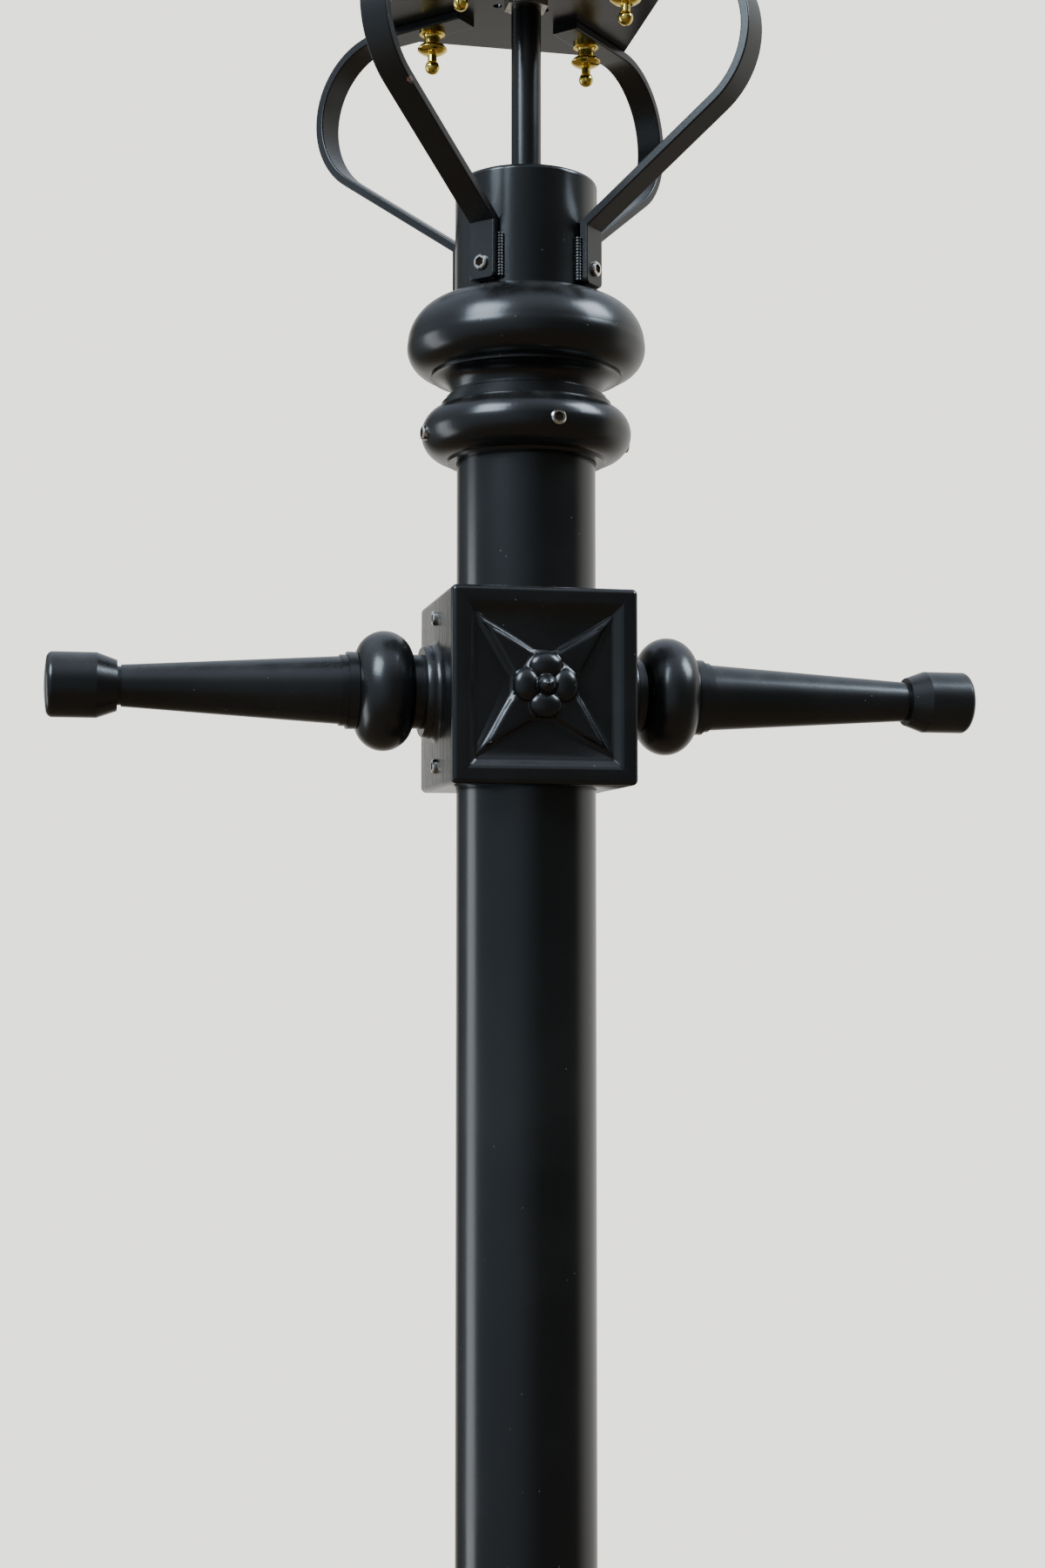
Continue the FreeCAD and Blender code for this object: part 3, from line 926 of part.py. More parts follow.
def roof_pieces():
    seat = "(top_side / 2 - bar_thick - rail_slip - rail_thick / 3)"
    opening = "(top_side / 2 - bar_thick - rail_slip - rail_thick)"
    reflector = new_body("reflector", lifted(ROOF_FOOT))
    pad(reflector, square(seat), "reflector_thick")
    rod(reflector, "reflector_hole", "3 * reflector_thick", ("0", "0", "-reflector_thick"), cut=True)

    roof = new_body("roof_shell", lifted(ROOF_FOOT))
    brim = "(%s - 2 * eave_round)" % HALF_EAVE
    pad(roof, square(HALF_EAVE), "eave_tall")
    soften(roof, "eave_round", lambda e: level_at(e, "eave_tall") or upright(e))
    loft(roof, [(square(brim), "eave_tall"), (square(HALF_ROOF_TOP), "eave_tall + roof_tall")])
    depth = "reflector_thick + roof_lap"
    pad(roof, square(seat + " + seat_slip"), depth, depth, cut=True)
    pad(roof, square(opening), "eave_tall", "eave_tall", cut=True)
    loft(roof, [(square(brim + " - 2 * roof_wall"), "eave_tall - roof_lap"),
                (square(HALF_ROOF_TOP + " - roof_wall"), "eave_tall + roof_tall - roof_wall")], cut=True)
    pad(roof, square("vent_side / 2 - vent_wall"), "2 * roof_wall", "eave_tall + roof_tall", cut=True)

    vent = new_body("roof_vent", lifted(ROOF_TOP))
    pad(vent, square("vent_side / 2"), "vent_tall")
    pad(vent, square("vent_side / 2 - vent_wall"), "vent_tall", "vent_tall", cut=True)
    spots = [("%d * vent_pitch" % step, "0", "vent_tall / 2") for step in (-1, 0, 1)]
    holes = [rod(vent, "vent_hole", "vent_side", spot, (0, 1, 0), cut=True) for spot in spots]
    around(vent, holes)

    crown = new_body("vent_crown", lifted(VENT_TOP))
    pad(crown, square(HALF_CROWN), "crown_lip")
    soften(crown, "crown_round", lambda e: upright(e) or level_at(e, "0"))
    top = "crown_lip + crown_tall"
    loft(crown, [(square(HALF_CROWN + " - crown_step"), "crown_lip"), (square("crown_top / 2"), top)])
    loft(crown, [(square("vent_side / 2 - vent_wall"), "0"),
                 (square("crown_top / 4"), "crown_lip + crown_tall / 2")], cut=True)

    foot, neck = "spire_dia / 2", "spire_neck_dia / 2"
    turned("crown_finial", [("0", "0"), (foot + " - spire_edge", "0"), (foot, "spire_edge"),
                            (foot + " - spire_slope", "spire_foot"), (neck, "spire_neck_up", "spire_neck_rise"),
                            (neck, "spire_neck_end"), ("spire_bead / 2", "spire_bead_up", "-spire_bead_rise"),
                            ("spire_waist_dia / 2", "spire_waist_up", "-spire_bell_rise"),
                            ("spire_stem_dia / 2", "spire_stem_up", "spire_stem_rise"),
                            ("spire_ball / 2", "spire_tall - spire_ball_down", "-spire_stem_rise"),
                            ("spire_tip_dia / 2", "spire_tall - spire_tip", "-spire_tip_rise"),
                            ("0", "spire_tall")], lifted(CROWN_TOP))


pedestal_case()
pedestal_pieces()
hatch_pieces()
cut_out_pieces()
post_pieces()
ladder_block()
ladder_arms()
collar_pieces()
bracket_pieces()
lantern_frame()
lantern_door()
lamp_pieces()
roof_pieces()

# ---------------------------------------------------------------- check and write
doc.recompute()
failed = [o.Label for o in doc.Objects if "Invalid" in o.State or "Error" in o.State]
if failed:
    raise RuntimeError("objects failed: " + ", ".join(failed))
os.makedirs("parts", exist_ok=True)
for label, node in nodes.items():
    shape = node.Shape
    if shape.isNull() or not shape.isValid() or not shape.Solids:
        raise RuntimeError("bad shape: " + label)
    shape.exportStep(os.path.join("parts", label + ".step"))
    print("%-26s solids %2d  volume %10.0f" % (label, len(shape.Solids), shape.Volume))
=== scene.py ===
# %% [markdown]
# # A street lamp post in black paint, brass and glass
# The lamp is a steel tube on a cast pedestal. It carries a square block with two turned arms for a ladder to
# lean on, a beaded collar, a bracket of four bent straps and a glazed lantern. The frame that is loaded here
# holds every part at its real size, in metres, with +Z up and the ladder arms along X. This lesson gives each
# part its finish and adds the small pieces that a maker would add last.

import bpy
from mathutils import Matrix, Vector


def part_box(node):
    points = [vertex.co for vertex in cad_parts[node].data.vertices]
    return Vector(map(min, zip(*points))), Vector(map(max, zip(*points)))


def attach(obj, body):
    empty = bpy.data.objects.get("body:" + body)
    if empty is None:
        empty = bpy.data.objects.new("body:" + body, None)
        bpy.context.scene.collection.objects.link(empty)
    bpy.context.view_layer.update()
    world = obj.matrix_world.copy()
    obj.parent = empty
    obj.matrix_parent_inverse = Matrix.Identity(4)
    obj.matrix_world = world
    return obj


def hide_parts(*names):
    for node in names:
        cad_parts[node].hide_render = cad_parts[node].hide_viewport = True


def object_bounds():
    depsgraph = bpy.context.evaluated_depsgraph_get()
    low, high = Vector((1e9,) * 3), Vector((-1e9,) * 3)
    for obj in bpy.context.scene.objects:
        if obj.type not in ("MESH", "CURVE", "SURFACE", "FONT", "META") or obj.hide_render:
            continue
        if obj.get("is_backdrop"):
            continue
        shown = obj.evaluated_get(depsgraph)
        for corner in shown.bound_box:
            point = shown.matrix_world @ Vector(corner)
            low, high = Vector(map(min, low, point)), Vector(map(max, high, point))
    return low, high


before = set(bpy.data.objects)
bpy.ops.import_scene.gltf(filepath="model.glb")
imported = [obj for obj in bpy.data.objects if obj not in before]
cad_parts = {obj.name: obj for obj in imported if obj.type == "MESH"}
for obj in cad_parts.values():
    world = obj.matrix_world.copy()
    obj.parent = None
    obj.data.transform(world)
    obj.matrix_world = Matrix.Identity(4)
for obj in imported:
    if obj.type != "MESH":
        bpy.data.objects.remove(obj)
cad_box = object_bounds()

# %% Tools and units
import bmesh
import bpy
import math
from mathutils import Matrix, Vector

MM = 0.001
WHOLE_TURN = 2 * math.pi


def middle(node):
    """The middle of a node's box at rest."""
    low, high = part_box(node)
    return (low + high) / 2


block_middle = middle("ladder_block")
print("the ladder block's middle:", [round(c, 4) for c in block_middle])

# %% [markdown]
# ## The camera
# The lamp is seen from just below the ladder block, as by someone who stands close to it and a little to the
# left. A lens of 50 mm keeps the taper of the arms natural. The camera is placed from the block's own middle, so
# it follows the block if the post is made taller or shorter.

# %% Camera
CAMERA_AWAY = 1180 * MM
CAMERA_BELOW = 116 * MM
CAMERA_ASIDE = 2 * MM
CAMERA_TURN = math.radians(-12)
CAMERA_TILT = math.radians(3.25)

camera = bpy.data.objects.new("camera", bpy.data.cameras.new("camera"))
bpy.context.scene.collection.objects.link(camera)
camera.data.lens = 50
camera.data.sensor_fit = "VERTICAL"
camera.data.sensor_height = 36
camera.data.clip_start = 50 * MM
backwards = Vector((math.sin(CAMERA_TURN), -math.cos(CAMERA_TURN), 0))
sideways = Vector((math.cos(CAMERA_TURN), math.sin(CAMERA_TURN), 0))
eye_level = Vector((0, 0, block_middle.z - CAMERA_BELOW))
camera.location = eye_level + backwards * CAMERA_AWAY - sideways * CAMERA_ASIDE
camera.rotation_euler = (math.pi / 2 + CAMERA_TILT, 0, CAMERA_TURN)
bpy.context.scene.camera = camera
print("camera at", [round(c, 3) for c in camera.location])

# %% [markdown]
# ## Nodes written as sums
# A finish is worked out from masks: where dust lies, where a casting is rough, where metal was ground. Wiring
# such masks by hand hides the idea in node clutter, so one small class wraps a socket and lets Python's own
# operators add the Math nodes. Every other node comes from one method that names its type, its settings and what
# its sockets hold. Numbers that are the same all over a surface are set on the shader's own sockets.

# %% A wire
class Wire:
    """A socket's output that can be added, multiplied and compared like a number."""

    def __init__(self, shading, socket):
        self.shading = shading
        self.socket = socket

    def math(self, operation, first, second=0.0):
        return self.shading.node("Math", {"operation": operation}, {0: first, 1: second})

    def __add__(self, other):
        return self.math("ADD", self, other)

    def __radd__(self, other):
        return self.math("ADD", other, self)

    def __sub__(self, other):
        return self.math("SUBTRACT", self, other)

    def __rsub__(self, other):
        return self.math("SUBTRACT", other, self)

    def __mul__(self, other):
        return self.math("MULTIPLY", self, other)

    def __rmul__(self, other):
        return self.math("MULTIPLY", other, self)

    def __lt__(self, other):
        return self.math("LESS_THAN", self, other)

    def __gt__(self, other):
        return self.math("GREATER_THAN", self, other)

    def __abs__(self):
        return self.math("ABSOLUTE", self)

    def at_most(self, other):
        return self.math("MINIMUM", self, other)

    def wave(self, pitch):
        """A sine that repeats every pitch metres."""
        return self.math("SINE", self * (WHOLE_TURN / pitch))

    def ramp(self, start, end):
        """Runs smoothly from 0 to 1 between two values, and stays there."""
        return self.shading.node("MapRange", {"interpolation_type": "SMOOTHSTEP"},
                                 {"Value": self, "From Min": start, "From Max": end})


# %% A node tree and a finish
class Shading:
    """A node tree that adds nodes by name."""

    def __init__(self, tree):
        self.tree = tree

    def feed(self, socket, value):
        if isinstance(value, Wire):
            self.tree.links.new(value.socket, socket)
        elif socket.type == "RGBA":
            socket.default_value = (*value[:3], 1)
        else:
            socket.default_value = value

    def node(self, kind, settings=None, inputs=None, output=0):
        made = self.tree.nodes.new("ShaderNode" + kind)
        for name, value in (settings or {}).items():
            setattr(made, name, value)
        for socket, value in (inputs or {}).items():
            self.feed(made.inputs[socket], value)
        return Wire(self, made.outputs[output])

    def blend(self, factor, first, second):
        """A colour between two colours."""
        return self.node("Mix", {"data_type": "RGBA"}, {0: factor, 6: first, 7: second}, output=2)

    def facing(self, vector, direction):
        """How far a vector points along a direction: 1 along it, 0 across it."""
        return self.node("VectorMath", {"operation": "DOT_PRODUCT"}, {0: vector, 1: direction}, output="Value")


class Finish(Shading):
    """A material whose Principled shader takes plain numbers, and wires where it varies."""

    def __init__(self, name, **constants):
        self.material = bpy.data.materials.new(name)
        self.material.use_nodes = True
        super().__init__(self.material.node_tree)
        self.shader = self.tree.nodes["Principled BSDF"]
        self.set(**constants)
        self.place = self.node("TexCoord", output="Object")

    def set(self, **sockets):
        """Sets shader sockets, which are named here in small letters."""
        for name, value in sockets.items():
            self.feed(self.shader.inputs[name.replace("_", " ").title().replace("Ior", "IOR")], value)

    def cloud(self, lumps, detail=3, stretch=(1, 1, 1), coarse=0.5):
        """Soft cloudy noise with so many lumps in a metre."""
        place = self.node("Mapping", None, {"Vector": self.place, "Scale": stretch})
        return self.node("TexNoise", None, {"Vector": place, "Scale": lumps, "Detail": detail, "Roughness": coarse})

    def cells(self, count):
        """Distance to the nearest of many scattered points."""
        return self.node("TexVoronoi", None, {"Vector": self.place, "Scale": count}, output="Distance")

    def axis(self, name):
        return self.node("SeparateXYZ", None, {"Vector": self.place}, output=name)

    def looking(self, direction):
        """How far the surface faces a direction."""
        return self.facing(self.node("NewGeometry", output="Normal"), direction)

    def near(self, point, radius):
        """1 at a point, fading to 0 at a radius from it."""
        gap = self.node("VectorMath", {"operation": "DISTANCE"}, {0: self.place, 1: point}, output="Value")
        return 1 - gap.ramp(0, radius)

    def bump(self, height, depth, onto=None):
        inputs = {"Height": height, "Distance": depth}
        if onto:
            inputs["Normal"] = onto
        return self.node("Bump", None, inputs)


print("shading helpers ready")

# %% [markdown]
# ## Sky, wall and floor
# Black gloss paint has almost no colour of its own, so what it reflects is what it looks like. The world is
# therefore painted by direction: open sky above, a sunlit wall behind and to the right, bluish shade to the left,
# brown ground below, and little light from behind the viewer. The camera itself sees one even pale tone. A pale
# disc stands for the pavement. It is left out of reflections, so that the undersides mirror the brown ground.

# %% World
BACKDROP = (2.16, 2.14, 2.02)
SHADE = (0.1, 0.1, 0.088)
LEFT_SHADE = (0.42, 0.5, 0.58)
LIT_WALL = (0.95, 0.94, 0.9)
OPEN_SKY = (0.8, 0.93, 1.12)
GROUND = (0.17, 0.13, 0.085)

world = bpy.data.worlds.new("street")
bpy.context.scene.world = world
world.use_nodes = True
sky = Shading(world.node_tree)
ray = sky.node("TexCoord", output="Generated")
tone = sky.blend(sky.facing(ray, (-0.95, -0.3, 0.1)).ramp(0.0, 0.85), SHADE, LEFT_SHADE)
tone = sky.blend(sky.facing(ray, (0.64, 0.77, 0)).ramp(0.4, 0.78), tone, LIT_WALL)
tone = sky.blend(sky.facing(ray, (0, 0, 1)).ramp(0.3, 0.9), tone, OPEN_SKY)
tone = sky.blend(sky.facing(ray, (0, 0, -1)).ramp(0.1, 0.7), tone, GROUND)
tone = sky.blend(sky.node("LightPath", output="Is Camera Ray"), tone, BACKDROP)
sky.feed(world.node_tree.nodes["Background"].inputs["Color"], tone)
print("world painted by direction")

# %% Floor
FLOOR_RADIUS = 3.4
CRISP_FROM = math.radians(35)


def link(name, mesh, finish):
    """Makes an object of a bmesh, at the origin, with its place in its mesh."""
    data = bpy.data.meshes.new(name)
    mesh.to_mesh(data)
    mesh.free()
    data.materials.append(finish)
    data.shade_smooth()
    data.set_sharp_from_angle(angle=CRISP_FROM)
    made = bpy.data.objects.new(name, data)
    bpy.context.scene.collection.objects.link(made)
    return made


paving = Finish("pale_paving", roughness=0.8)
paving.set(base_color=paving.blend(paving.cloud(3, 5), (0.7, 0.67, 0.62), (0.77, 0.74, 0.69)))
disc = bmesh.new()
bmesh.ops.create_circle(disc, cap_ends=True, radius=FLOOR_RADIUS, segments=96)
floor = link("floor", disc, paving.material)
floor.visible_glossy = False
floor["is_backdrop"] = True
print("floor radius", FLOOR_RADIUS)

# %% [markdown]
# Two wide soft boxes overhead put the long highlights on the shoulders of the beads, where a cloudy sky would,
# and a lower one lights the lantern. They are large and far away, so their edges stay soft, and the camera does
# not see them.

# %% Soft boxes
LAMP_TOP = Vector((0, 0, 2))


def soft_box(name, place, size, power, tint, aim=LAMP_TOP):
    """A wide lamp that faces a point."""
    light = bpy.data.lights.new(name, "AREA")
    light.shape = "RECTANGLE"
    light.size, light.size_y = size
    light.energy = power
    light.color = tint
    box = bpy.data.objects.new(name, light)
    box.location = place
    box.rotation_euler = (Vector(place) - aim).to_track_quat("Z", "Y").to_euler()
    box.visible_camera = False
    bpy.context.scene.collection.objects.link(box)


soft_box("sky_box_left", (-2.3, -1.6, 3.9), (1.7, 1.7), 150, (0.72, 0.86, 1.0))
soft_box("sky_box_right", (2.5, -1.0, 4.1), (1.5, 1.5), 125, (0.74, 0.87, 1.0))
soft_box("low_box", (-3.2, 1.4, 1.2), (1.2, 2.6), 30, (0.9, 0.95, 1.0))

# %% [markdown]
# ## Black paint
# The lamp is sprayed with gloss black. Close to, it isn't flat: the film has a faint orange peel and slow waves,
# its gloss wanders, fine dust settles on faces that look upwards, and a few pale specks have stuck in it. The
# castings under the same paint keep some of their sand texture. One function makes all of these, and what differs
# is how deep the peel and the sand are.

# %% Paint
PAINT = (0.004, 0.004, 0.0041)
FADED = (0.015, 0.0148, 0.014)
DUST = (0.13, 0.12, 0.105)
PRIMER = (0.13, 0.055, 0.03)
FACES_UP = (0, 0, 1)


def mix_paint(name, gloss, peel, sand=0.0, waves=0.0):
    """Black paint; gloss is its roughness, and peel, sand and waves are depths in metres."""
    paint = Finish(name, specular_ior_level=0.55)
    film = paint.cloud(11, 4)
    dust = paint.looking(FACES_UP).ramp(0.25, 1.0) * paint.cloud(70, 6, coarse=0.65).ramp(0.3, 0.8) * 0.22
    specks = (paint.cells(140) < 0.05) * (paint.cloud(17, 1) > 0.52) * 0.55
    paint.dirt = (dust + specks).at_most(1)
    paint.tone = paint.blend(film.ramp(0.45, 0.75) * 0.35, PAINT, FADED)
    paint.tone = paint.blend(paint.dirt, paint.tone, DUST)
    paint.rough = film.ramp(0.3, 0.7) * 0.06 + gloss + paint.dirt * 0.4
    paint.relief = paint.bump(paint.cloud(700, 2), peel)
    if waves:
        paint.relief = paint.bump(paint.cloud(24, 2, stretch=(1, 1, 0.35)), waves, paint.relief)
    if sand:
        paint.relief = paint.bump(paint.cloud(260, 6, coarse=0.6), sand, paint.relief)
        paint.relief = paint.bump(paint.cloud(38, 3), sand * 2, paint.relief)
    paint.set(base_color=paint.tone, roughness=paint.rough, normal=paint.relief)
    return paint


tube_paint = mix_paint("tube_paint", 0.19, 0.012 * MM, waves=0.12 * MM)
bar_paint = mix_paint("bar_paint", 0.25, 0.015 * MM, waves=0.05 * MM)
turned_paint = mix_paint("turned_paint", 0.22, 0.02 * MM, 0.02 * MM)
cast_paint = mix_paint("cast_paint", 0.23, 0.02 * MM, 0.09 * MM)
rough_cast_paint = mix_paint("rough_cast_paint", 0.3, 0.03 * MM, 0.3 * MM)
print("plain paints: 5")

# %% [markdown]
# Two paints carry marks of their own. The block's side faces were dressed with a grinder before painting, and the
# strokes still show as streaks under the film. One strap took a knock, and the primer shows through a scrape.

# %% Paint with marks
block_paint = mix_paint("block_paint", 0.2, 0.02 * MM, 0.06 * MM)
sides = abs(block_paint.looking((1, 0, 0))).ramp(0.8, 0.98)
strokes = block_paint.cloud(150, 3, stretch=(1, 3, 0.12)) * sides
block_paint.set(normal=block_paint.bump(strokes, 0.3 * MM, block_paint.relief),
                roughness=block_paint.rough + strokes.ramp(0.5, 0.8) * 0.1)

SCRAPE_SIZE = 5 * MM
SCRAPE_ACROSS, SCRAPE_FORWARD, SCRAPE_UP = -79 * MM, -90 * MM, 82 * MM
scrape_spot = Vector((SCRAPE_ACROSS, SCRAPE_FORWARD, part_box("strap_front_left")[0].z + SCRAPE_UP))
knocked_paint = mix_paint("knocked_paint", 0.25, 0.015 * MM, waves=0.05 * MM)
scrape = knocked_paint.near(scrape_spot, SCRAPE_SIZE) * knocked_paint.cloud(900, 3, stretch=(1, 1, 0.5))
bare = scrape.ramp(0.33, 0.4)
knocked_paint.set(base_color=knocked_paint.blend(bare, knocked_paint.tone, PRIMER),
                  roughness=knocked_paint.rough + bare * 0.35,
                  normal=knocked_paint.bump(1 - bare, 0.08 * MM, knocked_paint.relief))
print("scrape at", [round(c, 3) for c in scrape_spot])

# %% [markdown]
# ## Metals
# Polished brass has a warm colour and a thin brown tarnish that gathers in its hollows; the drops are turned, so
# fine rings run round them. Stainless screws are brighter and colder. Zinc plate is dull, cloudy and slightly
# yellow. A Bump node gives the turning rings, because they are far finer than any mesh.

# %% Brass, stainless steel and zinc
def mix_metal(name, bright, dull, gloss, stain, rings=0.0):
    """A metal between two tones; stain is how much of the dull one shows, and rings is a turning pitch."""
    metal = Finish(name, metallic=1.0)
    patch = metal.cloud(180, 5, coarse=0.6)
    fine = metal.cloud(900, 3)
    worn = patch.ramp(0.62 - stain * 0.3, 0.85) * stain
    metal.set(base_color=metal.blend(worn, bright, dull), roughness=worn * 0.35 + fine * 0.06 + gloss)
    relief = metal.bump(fine, 0.004 * MM)
    if rings:
        relief = metal.bump(metal.axis("Z").wave(rings), 0.002 * MM, relief)
    metal.set(normal=relief)
    return metal.material


brass = mix_metal("polished_brass", (0.9, 0.68, 0.15), (0.45, 0.3, 0.06), 0.07, 0.5, 0.5 * MM)
old_brass = mix_metal("handled_brass", (0.72, 0.54, 0.22), (0.2, 0.13, 0.06), 0.22, 0.9)
stainless = mix_metal("stainless_screw", (0.8, 0.78, 0.74), (0.42, 0.38, 0.33), 0.13, 0.35, 0.35 * MM)
zinc = mix_metal("zinc_plate", (0.55, 0.54, 0.48), (0.3, 0.29, 0.27), 0.3, 0.8)
tinned = mix_metal("tinned_cap", (0.72, 0.7, 0.66), (0.4, 0.36, 0.3), 0.2, 0.6, 1.2 * MM)
print("metals: 5")

# %% [markdown]
# ## Glass, porcelain, enamel and board
# The panes are drawn glass: clear, a little green, and faintly wavy, with a film of dust towards their lower
# edges. The lamp's globe is opal, which scatters light under its skin. The reflector is white vitreous enamel,
# and the supply cut-out inside the pedestal is black moulding on a brown board.

# %% Panes and globe
glass_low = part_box("glass_pane_left")[0].z
pane = Finish("pane_glass", base_color=(0.93, 0.97, 0.95), transmission_weight=1.0, ior=1.5)
film = (1 - pane.axis("Z").ramp(glass_low, glass_low + 90 * MM)) * 0.35 + pane.cloud(25, 5).ramp(0.5, 0.8) * 0.15
pane.set(roughness=film * pane.cloud(90, 6).ramp(0.3, 0.8) * 0.35 + 0.01,
         normal=pane.bump(pane.cloud(9, 2, stretch=(1, 1, 0.5)), 0.25 * MM))

opal = Finish("opal_glass", subsurface_weight=0.6, subsurface_scale=6 * MM, ior=1.5, coat_weight=0.4,
              coat_roughness=0.05)
opal.set(base_color=opal.blend(opal.cloud(30, 4), (0.82, 0.81, 0.77), (0.9, 0.89, 0.86)),
         roughness=opal.cloud(45, 3) * 0.08 + 0.1, normal=opal.bump(opal.cloud(20, 2), 0.05 * MM))
print("pane film starts at", round(glass_low, 3))


# %% Plain moulded finishes
def mix_plain(name, light, dark, gloss, lumps, depth):
    """A finish that wanders between two tones, with a fine relief."""
    plain = Finish(name)
    wander = plain.cloud(lumps, 5)
    dust = plain.looking(FACES_UP).ramp(0.5, 1.0) * plain.cloud(60, 4).ramp(0.4, 0.7) * 0.3
    plain.set(base_color=plain.blend(dust, plain.blend(wander.ramp(0.3, 0.7), light, dark), DUST),
              roughness=wander * 0.1 + gloss + dust * 0.5, normal=plain.bump(plain.cloud(lumps * 8, 3), depth))
    return plain.material


porcelain = mix_plain("porcelain", (0.78, 0.76, 0.71), (0.7, 0.67, 0.61), 0.12, 40, 0.03 * MM)
enamel = mix_plain("white_enamel", (0.8, 0.8, 0.77), (0.72, 0.72, 0.68), 0.14, 25, 0.05 * MM)
moulding = mix_plain("black_moulding", (0.022, 0.021, 0.02), (0.035, 0.033, 0.03), 0.38, 60, 0.04 * MM)
print("moulded finishes: 3")

# %% Board
board = Finish("laminated_board")
layers = board.axis("Y").wave(0.9 * MM)
weave = board.cloud(120, 5, stretch=(1, 1, 5))
board.set(base_color=board.blend(weave.ramp(0.3, 0.7) * 0.8 + layers * 0.1,
                                 (0.17, 0.075, 0.03), (0.09, 0.038, 0.016)),
          roughness=weave * 0.2 + 0.35, normal=board.bump(weave, 0.06 * MM))
print("board laminated")

# %% [markdown]
# ## Dressing the frame
# Each node of the frame gets the finish of the material that its maker would use. Only materials change here; the
# meshes stay as they were loaded.

# %% Which finish each node wears
WEARS = {
    tube_paint.material: ["column_tube", "bracket_sleeve", "sleeve_cap", "supply_pipe"],
    bar_paint.material: ["strap_front_right", "strap_rear_left", "strap_rear_right", "lantern_base_plate",
                         "lantern_bottom_rail", "lantern_top_rail", "corner_bar_front_left",
                         "corner_bar_front_right", "corner_bar_rear_left", "corner_bar_rear_right",
                         "lantern_door_frame", "roof_shell", "roof_vent", "vent_crown", "strap_welds"],
    knocked_paint.material: ["strap_front_left"],
    turned_paint.material: ["ladder_arm_left", "ladder_arm_right", "column_collar", "crown_finial"],
    block_paint.material: ["ladder_block"],
    cast_paint.material: ["pedestal_cap", "access_door"],
    rough_cast_paint.material: ["pedestal_case"],
    stainless: ["collar_grub_screws", "strap_grub_screws", "ladder_block_screws", "pedestal_neck_screws",
                "access_door_hinge_pins", "lantern_door_hinge_pins"],
    zinc: ["pedestal_cap_bolts", "ladder_arm_studs", "spigot_tube", "pipe_lock_nuts", "drop_nuts"],
    brass: ["brass_drops"],
    old_brass: ["lantern_door_latch", "access_door_lock", "earth_stud"],
    pane.material: ["glass_pane_left", "glass_pane_rear", "glass_pane_right", "lantern_door_glass"],
    opal.material: ["lamp_globe"],
    tinned: ["lamp_cap"],
    porcelain: ["lamp_holder"],
    enamel: ["reflector"],
    moulding: ["cut_out_box", "cut_out_lid"],
    board.material: ["cut_out_board"],
}
for finish, names in WEARS.items():
    for name in names:
        worn_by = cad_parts[name].data
        worn_by.materials.clear()
        worn_by.materials.append(finish)
left_bare = set(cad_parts) - {name for names in WEARS.values() for name in names}
print("nodes without a finish:", sorted(left_bare))

# %% [markdown]
# ## Tools for small pieces
# Rivets, beads and rings are all turned shapes: a few points of a side view, spun about an axis and set in place
# by a matrix. Spinning keeps their roundness exact and closes them at their poles.

# %% Turned shapes and pieces
UP = Vector((0, 0, 1))
MERGE = 0.001 * MM
CAD_MERGE = 0.01 * MM
CORNERS = (45, 135, 225, 315)
WALLS = (0, 90, 180, 270)
FRONT_WALL = WALLS[0]


def turned(angle):
    """The matrix that turns a place about the post's axis, by degrees."""
    return Matrix.Rotation(math.radians(angle), 4, "Z")


def along(start, direction):
    """The matrix of a place whose Z runs along a direction."""
    return Matrix.Translation(start) @ Vector(direction).to_track_quat("Z", "Y").to_matrix().to_4x4()


def turn(mesh, side_view, place, steps=24):
    """Spins (radius, height) points about the Z axis of a place. What is in the mesh already carries a tag."""
    points = [mesh.verts.new((radius, 0, height)) for radius, height in side_view]
    edges = [mesh.edges.new(pair) for pair in zip(points, points[1:])]
    bmesh.ops.spin(mesh, geom=points + edges, axis=UP, angle=WHOLE_TURN, steps=steps, use_merge=True)
    fresh = [vert for vert in mesh.verts if not vert.tag]
    bmesh.ops.remove_doubles(mesh, verts=fresh, dist=MERGE)
    fresh = [vert for vert in mesh.verts if not vert.tag]
    bmesh.ops.transform(mesh, matrix=place, verts=fresh)
    for vert in fresh:
        vert.tag = True


def add_piece(name, mesh, body, finish, stands_for=()):
    """Closes a bmesh into a piece that rides on a body and wears a finish."""
    bmesh.ops.recalc_face_normals(mesh, faces=mesh.faces)
    faces = len(mesh.faces)
    made = link(name, mesh, finish)
    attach(made, body)
    for node in stands_for:
        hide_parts(node)
    print(name, "on", body, "with", faces, "faces")
    return made


print("piece tools ready")

# %% [markdown]
# ## Weld beads
# Each strap's foot is welded to the sleeve down both sides. A weld is a row of overlapping puddles, so its outline
# swells and pinches along its length. It could be a bump on a plain strip, but the strip is seen edge-on against
# the sleeve, so the ripples are real: a turned rod whose radius follows the puddles.

# %% Rippled welds
WELD_RADIUS = 2.1 * MM
WELD_FROM_MIDDLE = 8.6 * MM
PUDDLE = 1.6 * MM
PUDDLES = 15
PUDDLE_SWELL = ((0.1, 0.86), (0.45, 1.0), (0.85, 0.94))

weld_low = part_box("strap_welds")[0].z
sleeve_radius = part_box("bracket_sleeve")[1].x
side_view = [(0, 0)]
for puddle in range(PUDDLES):
    for share, swell in PUDDLE_SWELL:
        side_view.append((WELD_RADIUS * swell, (puddle + share) * PUDDLE))
side_view.append((0, PUDDLES * PUDDLE))

welds = bmesh.new()
for corner in CORNERS:
    for side in (-1, 1):
        spot = Vector((sleeve_radius, side * WELD_FROM_MIDDLE, weld_low))
        turn(welds, side_view, turned(corner) @ Matrix.Translation(spot), 12)
add_piece("weld_beads", welds, "post", bar_paint.material, ["strap_welds"])
